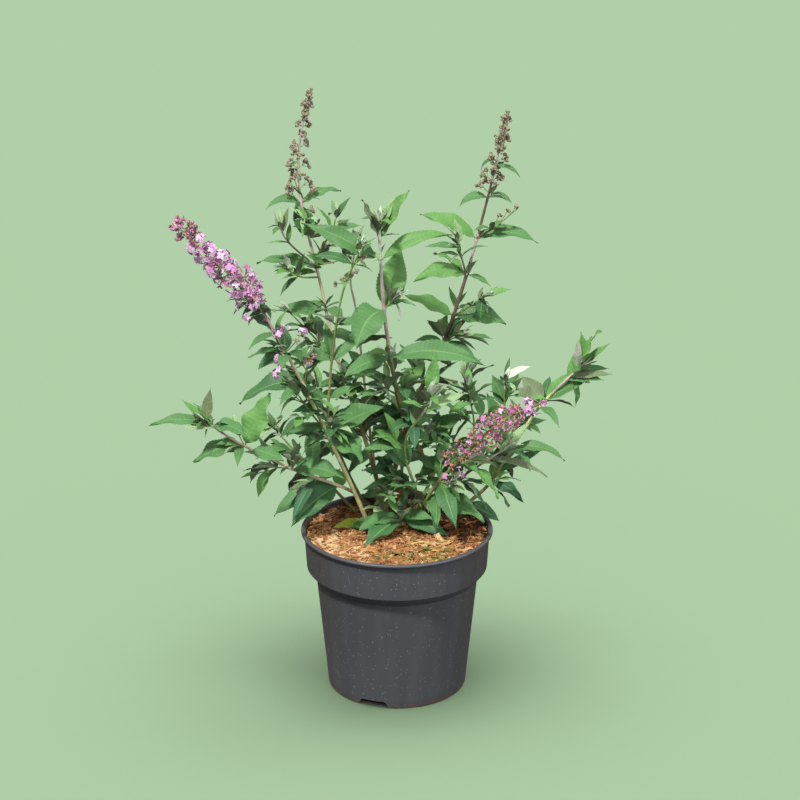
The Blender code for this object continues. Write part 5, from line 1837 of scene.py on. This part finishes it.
def lying(rng, tilt):
    """A turn that lays a sliver on the bed: any heading, tilted up to `tilt` degrees."""
    heading = Matrix.Rotation(rng.uniform(0, 2 * math.pi), 3, "Z")
    pitch = Matrix.Rotation(math.radians(rng.uniform(-tilt, tilt)), 3, "Y")
    roll = Matrix.Rotation(math.radians(rng.uniform(-tilt, tilt) * 1.6), 3, "X")
    return np.array(heading @ pitch @ roll)


# Fibres that lie over the front of the lip: middle, heading, length and colour.
LIP_FIBRES = ((-16, -98, 12, 22, "mulch_brown"), (27, -90, -64, 24, "mulch_tan"),
              (-14, -97.5, 24, 14, "mulch_orange"))
LIP_FIBRE_HEIGHT = 188.2
FIBRE_PLACES = (-0.5, -0.25, 0.0, 0.25, 0.5)  # the rings of a fibre, from its middle, over its length


def build_mulch(stems, sizes, materials, rng):
    """The bed's loose fibres, chips and crumbs as one piece over the bed."""
    feet = [stem.shoot.route[0][:2] for stem in stems.values() if not stem.parent]
    feet.append(STOOL_PLACE)
    joined = Joined()
    bed = template(build_bed(), place_of=lambda face: [(vert.co.x, vert.co.y) for vert in face.verts])
    # The bed under the loose pieces takes the dark fibre: partly damp soil, partly painted shade in the gaps.
    joined.add(bed, bed.points, slots_in(MULCH_MATERIALS, "mulch_dark"))
    chip, crumb, sliver = chip_template(), crumb_template(), tube(4, 5)

    def drop(shape, points, x, y, lift, stretch=(1.0, 1.0)):
        points = settle(points + np.array((x, y, bed_height(x, y) + lift)) * MM)
        joined.add(shape, points, slots_in(MULCH_MATERIALS, mulch_tone(x, y, rng)), shape.places * stretch)

    for x, y in scatter(rng, sizes.chips, feet, 4.0):
        big = rng.random() ** 1.6
        length, width, depth = 5 + 13 * big, rng.uniform(1.8, 3.2) + 3 * big, rng.uniform(0.8, 2.0)
        lift = rng.uniform(-0.2, 2.6)
        points = chip.points * (length * MM, width * MM, depth * MM) @ lying(rng, 26).T
        drop(chip, points, x, y, lift, (length, width))
    for x, y in scatter(rng, sizes.fibres, feet, 3.0):
        length, girth = rng.uniform(8, 34), rng.uniform(0.3, 0.85)
        bend, swing = rng.uniform(-0.2, 0.2), rng.uniform(-0.3, 0.3)
        centres = [Vector((t * length, swing * length * t * t, bend * length * (0.25 - t * t))) * MM
                   for t in FIBRE_PLACES]
        points = tube_points(sliver, centres, [girth * f * MM for f in (0.5, 0.9, 1.0, 0.9, 0.4)])
        drop(sliver, points @ lying(rng, 13).T, x, y, rng.uniform(0.6, 3.4), (3.0, length))
    for x, y in scatter(rng, sizes.crumbs, feet, 3.0):
        size = np.array((rng.uniform(0.6, 2.0), rng.uniform(0.5, 1.5), rng.uniform(0.4, 1.0))) * MM
        drop(crumb, crumb.points * size @ lying(rng, 60).T, x, y, rng.uniform(0, 2.2))
    for x, y, heading, length, tone in LIP_FIBRES:
        centres = [Vector((t * length, 0, 1.5 - 5 * t * t)) * MM for t in FIBRE_PLACES]
        points = tube_points(sliver, centres, [f * MM for f in (0.4, 0.8, 0.9, 0.7, 0.3)])
        points = points @ np.array(Matrix.Rotation(math.radians(heading), 3, "Z")).T
        points += np.array((x, y, LIP_FIBRE_HEIGHT)) * MM
        joined.add(sliver, points, slots_in(MULCH_MATERIALS, tone), sliver.places * (3.0, length))
    return joined.build("mulch_bed", materials, smooth_degrees=30)


def build_stool(materials):
    """The old trunk between the canes: ridged bark, a root flare and a weathered saw cut."""
    levels, sides = 26, 26
    shape = tube(sides, levels)
    foot = Vector((*STOOL_PLACE, SOIL_TOP - 4)) * MM
    lean = Vector((*STOOL_LEAN, STOOL_HEIGHT + 4)) * MM
    rings = [i / (levels - 1) for i in range(levels)]
    centres = [foot + lean * f for f in rings]
    radii = [(STOOL_RADIUS + (STOOL_FLARE - STOOL_RADIUS) * math.exp(-f * 7)) * MM for f in rings]
    radii[-1] *= 0.93

    def relief(turn, level):
        grooves = np.abs(np.sin(turn * 4 + np.sin(level * 0.5) * 0.6)) ** 0.5 * 0.12
        lumps = np.sin(turn * 2 + 1.3) * 0.07 + np.sin(turn * 9 + level * 0.8) * 0.025
        return 0.93 + grooves + lumps * (1 + 0.04 * level)

    points = tube_points(shape, centres, radii, relief)
    caps = np.where(shape.counts > 4, 1, 0)
    joined = Joined()
    joined.add(shape, points, caps, shape.places * (2 * math.pi * STOOL_RADIUS, STOOL_HEIGHT))
    return joined.build("woody_stool", materials)


def colour_of(name, description, *display):
    return FloatVectorProperty(name=name, description=description, subtype="COLOR", size=3, min=0.0,
                               max=1.0, default=paint(*display))


def share_of(name, description, default, most, least=0.0):
    return FloatProperty(name=name, description=description, default=default, min=least, max=most,
                         subtype="FACTOR")


def angle_of(name, description, degrees):
    return FloatProperty(name=name, description=description, default=math.radians(degrees),
                         subtype="ANGLE")


def strength_of(name, description, default, unit="NONE"):
    return FloatProperty(name=name, description=description, default=default, min=0.0, unit=unit)


def count_of(name, description, default):
    return IntProperty(name=name, description=description, default=default, min=100, max=4000)


class BushFoliage(bpy.types.PropertyGroup):
    """Shape and colours of the leaves."""

    tooth: share_of("Tooth Depth", "How far the margin's teeth stand out, over the half-width", 0.075, 0.3)
    vein_spacing: FloatProperty(name="Vein Spacing", description="Millimetres between side veins",
                                default=5.0, min=2.0, max=12.0)
    puff: share_of("Quilting", "How far the blade rises between its veins, over the half-width", 0.018, 0.1)
    fold: share_of("Fold", "How far a blade's halves fold up", 0.27, 1.0)
    fullness: FloatProperty(name="Fullness", description="Breadth of the blades over that of their solids",
                            default=1.14, min=0.8, max=1.5)
    axil_chance: share_of("Axil Leaves", "Chance of leaves in a leaf's axil", 0.5, 1.0)
    # Bright adds painted light on sunlit leaves; deep and blue are darker greens that also paint shade.
    leaf_mid: colour_of("Leaf", "Face of most leaves", 89, 138, 80)
    leaf_bright: colour_of("Bright Leaf", "Face of sunlit leaves", 106, 160, 84)
    leaf_deep: colour_of("Deep Leaf", "Face of old leaves", 70, 118, 70)
    leaf_blue: colour_of("Blue Leaf", "Face of cool green leaves", 64, 108, 76)
    leaf_young: colour_of("Young Leaf", "Face of leaves near the tips", 150, 184, 128)
    leaf_yellow: colour_of("Yellow Leaf", "The one leaf that turns", 172, 190, 60)
    leaf_rib: colour_of("Midrib", "Midrib on a leaf's face", 112, 158, 94)
    leaf_rib_young: colour_of("Young Midrib", "Midrib of young leaves", 182, 204, 160)
    leaf_under: colour_of("Underside", "Downy underside of leaves", 118, 132, 98)
    leaf_felt: colour_of("Felt", "White felt of the youngest leaves", 218, 224, 208)


class BushStems(bpy.types.PropertyGroup):
    """Bark of the canes, the twigs and the old stool."""

    ridge: share_of("Bark Relief", "Height of the bark's ridges over the radius", 0.045, 0.2)
    bark_brown: colour_of("Brown Bark", "Old bark at the foot", 142, 112, 84)
    bark_purple: colour_of("Purple Bark", "Dark upper bark", 112, 94, 82)
    bark_olive: colour_of("Olive Bark", "Lower bark of green canes", 150, 150, 98)
    bark_yellow: colour_of("Yellow Bark", "Ripening bark", 232, 234, 172)
    bark_tan: colour_of("Tan Bark", "Dry bark", 220, 202, 172)
    bark_mauve: colour_of("Mauve Bark", "Downy upper stems", 212, 190, 184)
    bark_cream: colour_of("Cream Bark", "Felted tips", 214, 216, 196)
    bark_green: colour_of("Green Bark", "Young stems", 138, 164, 96)
    stool_bark: colour_of("Stool Bark", "Bark of the old stool", 118, 88, 62)
    stool_cut: colour_of("Saw Cut", "Weathered top of the stool", 160, 132, 98)


class BushFlowers(bpy.types.PropertyGroup):
    """Colours of the florets and of the bud spikes."""

    petal_pale: colour_of("Pale Petal", "Fresh lilac lobes", 248, 204, 246)
    petal_pink: colour_of("Pink Petal", "Pinker lobes", 226, 154, 216)
    petal_deep: colour_of("Deep Petal", "Lobes before they open", 186, 104, 160)
    petal_rose: colour_of("Rose Bud", "Closed dusty heads", 206, 138, 164)
    floret_tube: colour_of("Tube", "Floret tubes", 150, 88, 116)
    floret_throat: colour_of("Throat", "Orange eye of a floret", 226, 130, 90)
    petal_faded: colour_of("Faded Floret", "Dry salmon florets", 208, 148, 130)
    calyx_green: colour_of("Green Calyx", "Calyces and stalks", 164, 168, 112)
    calyx_brown: colour_of("Brown Calyx", "Dry calyces", 126, 98, 76)
    bud_beige: colour_of("Beige Bud", "Most buds of the spikes", 178, 164, 138)
    bud_green: colour_of("Green Bud", "Young buds", 158, 162, 122)
    bud_mauve: colour_of("Mauve Bud", "Buds that colour up", 166, 152, 150)
    bud_dark: colour_of("Dark Bud", "Shrivelled buds", 122, 108, 90)


class BushGround(bpy.types.PropertyGroup):
    """The pot's finish and the mulch in it."""

    gloss: share_of("Pot Roughness", "Roughness of the pot's plastic", 0.42, 1.0, 0.1)
    chips: count_of("Chips", "Flat chips in the mulch", 1700)
    fibres: count_of("Fibres", "Long fibres in the mulch", 1900)
    crumbs: count_of("Crumbs", "Crumbs in the mulch", 1500)
    pot: colour_of("Pot", "Anthracite plastic", 82, 83, 89)
    # Painted shade on the pot's left and right flanks.
    pot_flank_shade: colour_of("Pot Flanks", "Warmer grey towards the flanks", 82, 78, 76)
    # The fibres' own colours; their share by place also paints light at the front left and shade behind.
    mulch_orange: colour_of("Orange Fibre", "Fresh dry fibre", 194, 136, 84)
    mulch_tan: colour_of("Tan Fibre", "Common fibre", 174, 120, 74)
    mulch_pale: colour_of("Pale Fibre", "Bleached fibre", 218, 184, 140)
    mulch_brown: colour_of("Brown Fibre", "Damp fibre", 132, 84, 50)
    mulch_dark: colour_of("Dark Fibre", "Wet fibre and gaps", 78, 54, 36)
    mulch_moss: colour_of("Moss", "Green film on the fibre", 128, 122, 58)
    mulch_straw: colour_of("Straw", "Dry straw", 214, 186, 120)


class BushStage(bpy.types.PropertyGroup):
    """Camera, lights and floor."""

    lens: FloatProperty(name="Lens", description="Focal length on a 36 mm sensor", default=100.0, min=20.0,
                        max=300.0, unit="CAMERA")
    pitch: angle_of("Pitch", "How far the camera looks down", 19.75)
    key: strength_of("Key Light", "Strength of the sun-like key", 3.3)
    key_size: angle_of("Key Size", "Width of the key in the sky", 7.0)
    key_aim: FloatVectorProperty(name="Key Aim", description="Which way the key shines", size=3,
                                 default=(0.3, 0.45, -0.86), subtype="DIRECTION")
    fill: strength_of("Fill Light", "Strength of the fill from the right", 27.0, "POWER")
    floor_light: strength_of("Floor Light", "Strength of the wide overhead light", 1.6)
    floor_light_size: angle_of("Floor Light Size", "Width of the overhead light in the sky", 50.0)
    ambient: strength_of("Ambient", "Strength of the even sky", 0.5)
    floor: colour_of("Floor", "Plain pale green floor", 176, 207, 167)


GROWN = {}


def growth():
    """The grown plant, made once: stems, spikes and leaves, by the source's own draws, and the sprigs."""
    if GROWN:
        return GROWN
    rng = random.Random(SEED)
    stems = grow_stems(rng)
    balls, knots, walls = {}, {}, []
    for name, start, widest, peak in FLOWER_SPIKES:
        balls[name] = flower_balls(stems[name], start * MM, widest, peak, rng)
        walls += [ball(place, radius, rng.uniform(0, 2)) for _, place, radius in balls[name]]
    for name, start, longest in BUD_SPIKES:
        knots[name] = [row[1:] for row in bud_knots(stems[name], start * MM, longest, rng)]
        walls += [knot(*row) for row in knots[name]]
    solids = []
    for node in ("pot", "soil", "old_stool"):
        bm = bmesh.new()
        bm.from_mesh(frame["nodes"][node].data)
        solids.append(bm)
    leaves = place_leaves(stems, solids + walls, rng)
    ground = [BVHTree.FromBMesh(bm) for bm in solids]
    for bm in solids + walls:
        bm.free()
    fine = random.Random(FINE_SEED + 1)
    stalks, sprigs = axil_sprigs(stems, ground, fine, bpy.context.scene.bush_foliage.axil_chance)
    GROWN.update(stems=stems, balls=balls, knots=knots, leaves=leaves, stalks=stalks, sprigs=sprigs,
                 fine=fine)
    print(len(stems), "stems,", len(leaves), "leaves")
    return GROWN


def nodes_like(stems, region, ending):
    """The packed nodes of one region whose names end so."""
    return [name for cane in REGIONS[region] for _, name in stems[cane].pieces if name.endswith(ending)]


class BUSH_OT_pot(bpy.types.Operator):
    """Builds the moulded pot with its lip, shoulder and foot notches"""

    bl_idname = "bush.pot"
    bl_label = "Build Pot"

    def execute(self, context):
        look = context.scene.bush_ground
        pot = build_pot([pot_finish("anthracite_plastic", look.pot, look.pot_flank_shade, look.gloss)])
        carry(pot, "pot_plastic", "pot")
        return {"FINISHED"}


class BUSH_OT_mulch(bpy.types.Operator):
    """Builds the bed of wood fibre mulch"""

    bl_idname = "bush.mulch"
    bl_label = "Build Mulch"

    def execute(self, context):
        look = context.scene.bush_ground
        materials = [soft_finish(name, getattr(look, name), 0.9, 420.0, 0.22) for name in MULCH_MATERIALS]
        mulch = build_mulch(growth()["stems"], look, materials, random.Random(FINE_SEED))
        carry(mulch, "mulched_soil", "soil")
        return {"FINISHED"}


class BUSH_OT_stool(bpy.types.Operator):
    """Builds the old woody stool"""

    bl_idname = "bush.stool"
    bl_label = "Build Stool"

    def execute(self, context):
        look = context.scene.bush_stems
        stool = build_stool([bark_finish("stool_bark", look.stool_bark, 0.9, 0.8),
                             soft_finish("stool_cut", look.stool_cut, 0.9, 500.0, 0.2)])
        carry(stool, "old_bark", "old_stool")
        return {"FINISHED"}


class BUSH_OT_stems(bpy.types.Operator):
    """Builds the canes and their side shoots, one piece of each for every side of the plant"""

    bl_idname = "bush.stems"
    bl_label = "Build Stems"

    def execute(self, context):
        look = context.scene.bush_stems
        stems = growth()["stems"]
        materials = [bark_finish(name, getattr(look, name), 0.72, 0.6) for name in STEM_MATERIALS]
        for region in REGIONS:
            canes, twigs = Joined(), Joined()
            for name, stem in stems.items():
                if region_of(name, stems) == region:
                    if stem.parent:
                        twigs.add(*stem_tube(stem, 8, 3.5, 0, look))
                    else:
                        canes.add(*stem_tube(stem, 14, 3.0, 4, look))
            for sprig in growth()["stalks"]:
                if region_of(sprig.stem.shoot.name, stems) == region:
                    stalk(twigs, sprig.start, sprig.end, sprig.radius, STEM_MATERIALS.index("bark_green"))
            carry(canes.build(f"{region}_canes", materials), "cane_bark",
                  *nodes_like(stems, region, "_cane"))
            carry(twigs.build(f"{region}_twigs", materials), "cane_bark")
        return {"FINISHED"}


class BUSH_OT_leaves(bpy.types.Operator):
    """Builds the leaves, one piece for every side of the plant"""

    bl_idname = "bush.leaves"
    bl_label = "Build Leaves"

    def execute(self, context):
        look = context.scene.bush_foliage
        grown = growth()
        stems = grown["stems"]
        rng = grown["fine"]
        materials = leaf_finishes(look)
        pieces = {region: Joined() for region in REGIONS}
        wanted = [(stem, leaf, leaf_tone(leaf, key, nearest_place(stem, leaf.root) / stem.route.length, rng))
                  for stem, leaf, key in grown["leaves"]]
        wanted += [*grown["sprigs"], *tip_tufts(stems, rng), *small_leaves(stems)]
        for stem, leaf, tone in wanted:
            fold = look.fold * (2.0 if tone in ("felt", "young") and leaf.length < 36 else 1.0)
            shape, points, places = blade_points(leaf, leaf_bend(leaf, rng, fold), look)
            pieces[region_of(stem.shoot.name, stems)].add(shape, points, leaf_slots(tone), places)
        for region, joined in pieces.items():
            carry(joined.build(f"{region}_leaves", materials), "leaves",
                  *nodes_like(stems, region, "_foliage"))
        return {"FINISHED"}


def leaf_finishes(look):
    """The leaf materials in the order of LEAF_MATERIALS."""
    veins = {"leaf_rib": 0.85, "leaf_rib_young": 0.9, "leaf_under": 1.25, "leaf_felt": 0.9,
             "leaf_young": 0.8}
    fuzz = {"leaf_under": 0.08, "leaf_felt": 0.25, "leaf_young": 0.12}
    return [leaf_finish(name, getattr(look, name), veins.get(name, 0.6),
                        0.8 if name in fuzz else 0.55, fuzz.get(name, 0.03)) for name in LEAF_MATERIALS]


class BUSH_OT_flowers(bpy.types.Operator):
    """Builds the two flower panicles"""

    bl_idname = "bush.flowers"
    bl_label = "Build Flowers"

    def execute(self, context):
        look = context.scene.bush_flowers
        grown = growth()
        stems = grown["stems"]
        materials = [soft_finish(name, getattr(look, name), 0.6, 700.0, 0.12, 0.25)
                     for name in FLOWER_MATERIALS]
        rng = random.Random(FINE_SEED + 2)
        for side, (name, start, _, _) in zip(("left", "right"), FLOWER_SPIKES):
            joined = flower_panicle(stems[name], start * MM, grown["balls"][name], side, rng)
            carry(joined.build(f"{side}_panicle", materials), "flowers", f"{side}_flower_spike")
        return {"FINISHED"}


class BUSH_OT_buds(bpy.types.Operator):
    """Builds the bud spikes and the buds of the side shoots"""

    bl_idname = "bush.buds"
    bl_label = "Build Buds"

    def execute(self, context):
        look = context.scene.bush_flowers
        grown = growth()
        materials = [soft_finish(name, getattr(look, name), 0.85, 900.0, 0.2, 0.15) for name in BUD_MATERIALS]
        rng = random.Random(FINE_SEED + 3)
        rows = (("left_spike_buds", ("tall_left",), grown["knots"]["tall_left"], "left_bud_spike"),
                ("right_spike_buds", ("tall_right", "right_sprig"), grown["knots"]["tall_right"],
                 "right_bud_spike"),
                ("side_shoot_buds", ("green_side",), (), None))
        for name, shoots, knots, node in rows:
            joined = bud_clusters({shoot: grown["stems"][shoot] for shoot in shoots}, knots, rng)
            carry(joined.build(name, materials), "buds", *([node] if node else ()))
        return {"FINISHED"}


class BUSH_OT_stage(bpy.types.Operator):
    """Sets the floor, the lights and the camera of the reference view"""

    bl_idname = "bush.stage"
    bl_label = "Set Stage"

    def execute(self, context):
        set_stage(context.scene, context.scene.bush_stage)
        return {"FINISHED"}


def add_lamp(scene, kind, name, energy, place, aim, lit, **settings):
    """A lamp at a place that shines along `aim`, only on the pieces of one collection."""
    light = bpy.data.lights.new(name, kind)
    light.energy = energy
    for field, value in settings.items():
        setattr(light, field, value)
    lamp = bpy.data.objects.new(name, light)
    lamp.location = place
    lamp.rotation_euler = Vector(aim).to_track_quat("-Z", "Y").to_euler()
    lamp.light_linking.receiver_collection = lit
    scene.collection.objects.link(lamp)


FLOOR_RADIUS = 14.0
FLOOR_DROP = 0.0002  # the floor lies this far under the pot, in metres
FILL_PLACE = (1.9, -1.6, 1.3)
FILL_AIM = (-1.9, 1.6, -1.0)
CAMERA_PLACE = (0.0034, -2.307, 1.168)


def set_stage(scene, look):
    bm = bmesh.new()
    bmesh.ops.create_circle(bm, cap_ends=True, cap_tris=False, radius=FLOOR_RADIUS, segments=64)
    bmesh.ops.translate(bm, vec=(0, 0, -FLOOR_DROP), verts=bm.verts)
    material = finish_of("studio_floor", 0.95, {"Specular IOR Level": 0.1,
                                                "Base Color": shaded(look.floor, 1.0)})[0]
    floor = mesh_piece("studio_floor", bm, [material])
    floor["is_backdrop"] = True

    floor.visible_diffuse = False
    floor.visible_glossy = False

    plant = bpy.data.collections.new("lit_by_key")
    ground = bpy.data.collections.new("lit_from_above")
    for piece in scene.collection.all_objects:
        if piece.type == "MESH":
            (ground if piece == floor else plant).objects.link(piece)
    add_lamp(scene, "SUN", "key", look.key, (0, 0, 0), look.key_aim, plant, angle=look.key_size,
             color=(1.0, 0.975, 0.93))
    add_lamp(scene, "SUN", "floor_light", look.floor_light, (0, 0, 0), (0.0, -0.08, -1.0), ground,
             angle=look.floor_light_size)
    add_lamp(scene, "AREA", "fill", look.fill, FILL_PLACE, FILL_AIM, plant, size=1.6)

    world = bpy.data.worlds.new("soft_sky")
    world.use_nodes = True
    sky = world.node_tree.nodes["Background"]
    nodes = Nodes(world.node_tree)
    height = nodes.split(nodes.add("TexCoord").outputs["Generated"])[2]
    shades = nodes.mix(nodes.span(height, -0.15, 0.15), (0.14, 0.16, 0.13, 1.0), (1.0, 1.0, 1.0, 1.0))
    nodes.feed(sky.inputs["Color"], shades)
    sky.inputs["Strength"].default_value = look.ambient
    scene.world = world

    camera = bpy.data.cameras.new("camera")
    camera.lens = look.lens
    camera.sensor_width = 36.0
    camera.clip_end = 60.0
    viewer = bpy.data.objects.new("camera", camera)
    viewer.location = CAMERA_PLACE
    viewer.rotation_euler = (math.radians(90) - look.pitch, 0.0, 0.0)
    scene.collection.objects.link(viewer)
    scene.camera = viewer
    scene.view_settings.view_transform = "Standard"


OPERATORS = (BUSH_OT_pot, BUSH_OT_mulch, BUSH_OT_stool, BUSH_OT_stems, BUSH_OT_leaves, BUSH_OT_flowers,
             BUSH_OT_buds, BUSH_OT_stage)
GROUPS_OF_SETTINGS = {"bush_foliage": BushFoliage, "bush_stems": BushStems, "bush_flowers": BushFlowers,
                      "bush_ground": BushGround, "bush_stage": BushStage}


class BUSH_PT_panel(bpy.types.Panel):
    """Lists the bush's settings and its builders in the sidebar"""

    bl_label = "Butterfly Bush"
    bl_idname = "BUSH_PT_panel"
    bl_space_type = "VIEW_3D"
    bl_region_type = "UI"
    bl_category = "Bush"

    def draw(self, context):
        for operator in OPERATORS:
            self.layout.operator(operator.bl_idname)
        for name, kind in GROUPS_OF_SETTINGS.items():
            box = self.layout.box()
            box.label(text=kind.__doc__)
            for field in kind.__annotations__:
                box.prop(getattr(context.scene, name), field)


CLASSES = (*GROUPS_OF_SETTINGS.values(), *OPERATORS, BUSH_PT_panel)


def register():
    for kind in CLASSES:
        bpy.utils.register_class(kind)
    for name, kind in GROUPS_OF_SETTINGS.items():
        setattr(bpy.types.Scene, name, PointerProperty(type=kind))


def unregister():
    for name in GROUPS_OF_SETTINGS:
        delattr(bpy.types.Scene, name)
    for kind in reversed(CLASSES):
        bpy.utils.unregister_class(kind)


def main():
    register()
    bpy.ops.bush.pot()
    bpy.ops.bush.mulch()
    bpy.ops.bush.stool()
    bpy.ops.bush.stems()
    bpy.ops.bush.leaves()
    bpy.ops.bush.flowers()
    bpy.ops.bush.buds()
    bpy.ops.bush.stage()
    boxes = {"cad": CAD_BOX, "visual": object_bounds()}
    {name: [list(corner) for corner in box] for name, box in boxes.items()}


if __name__ == "__main__":
    main()
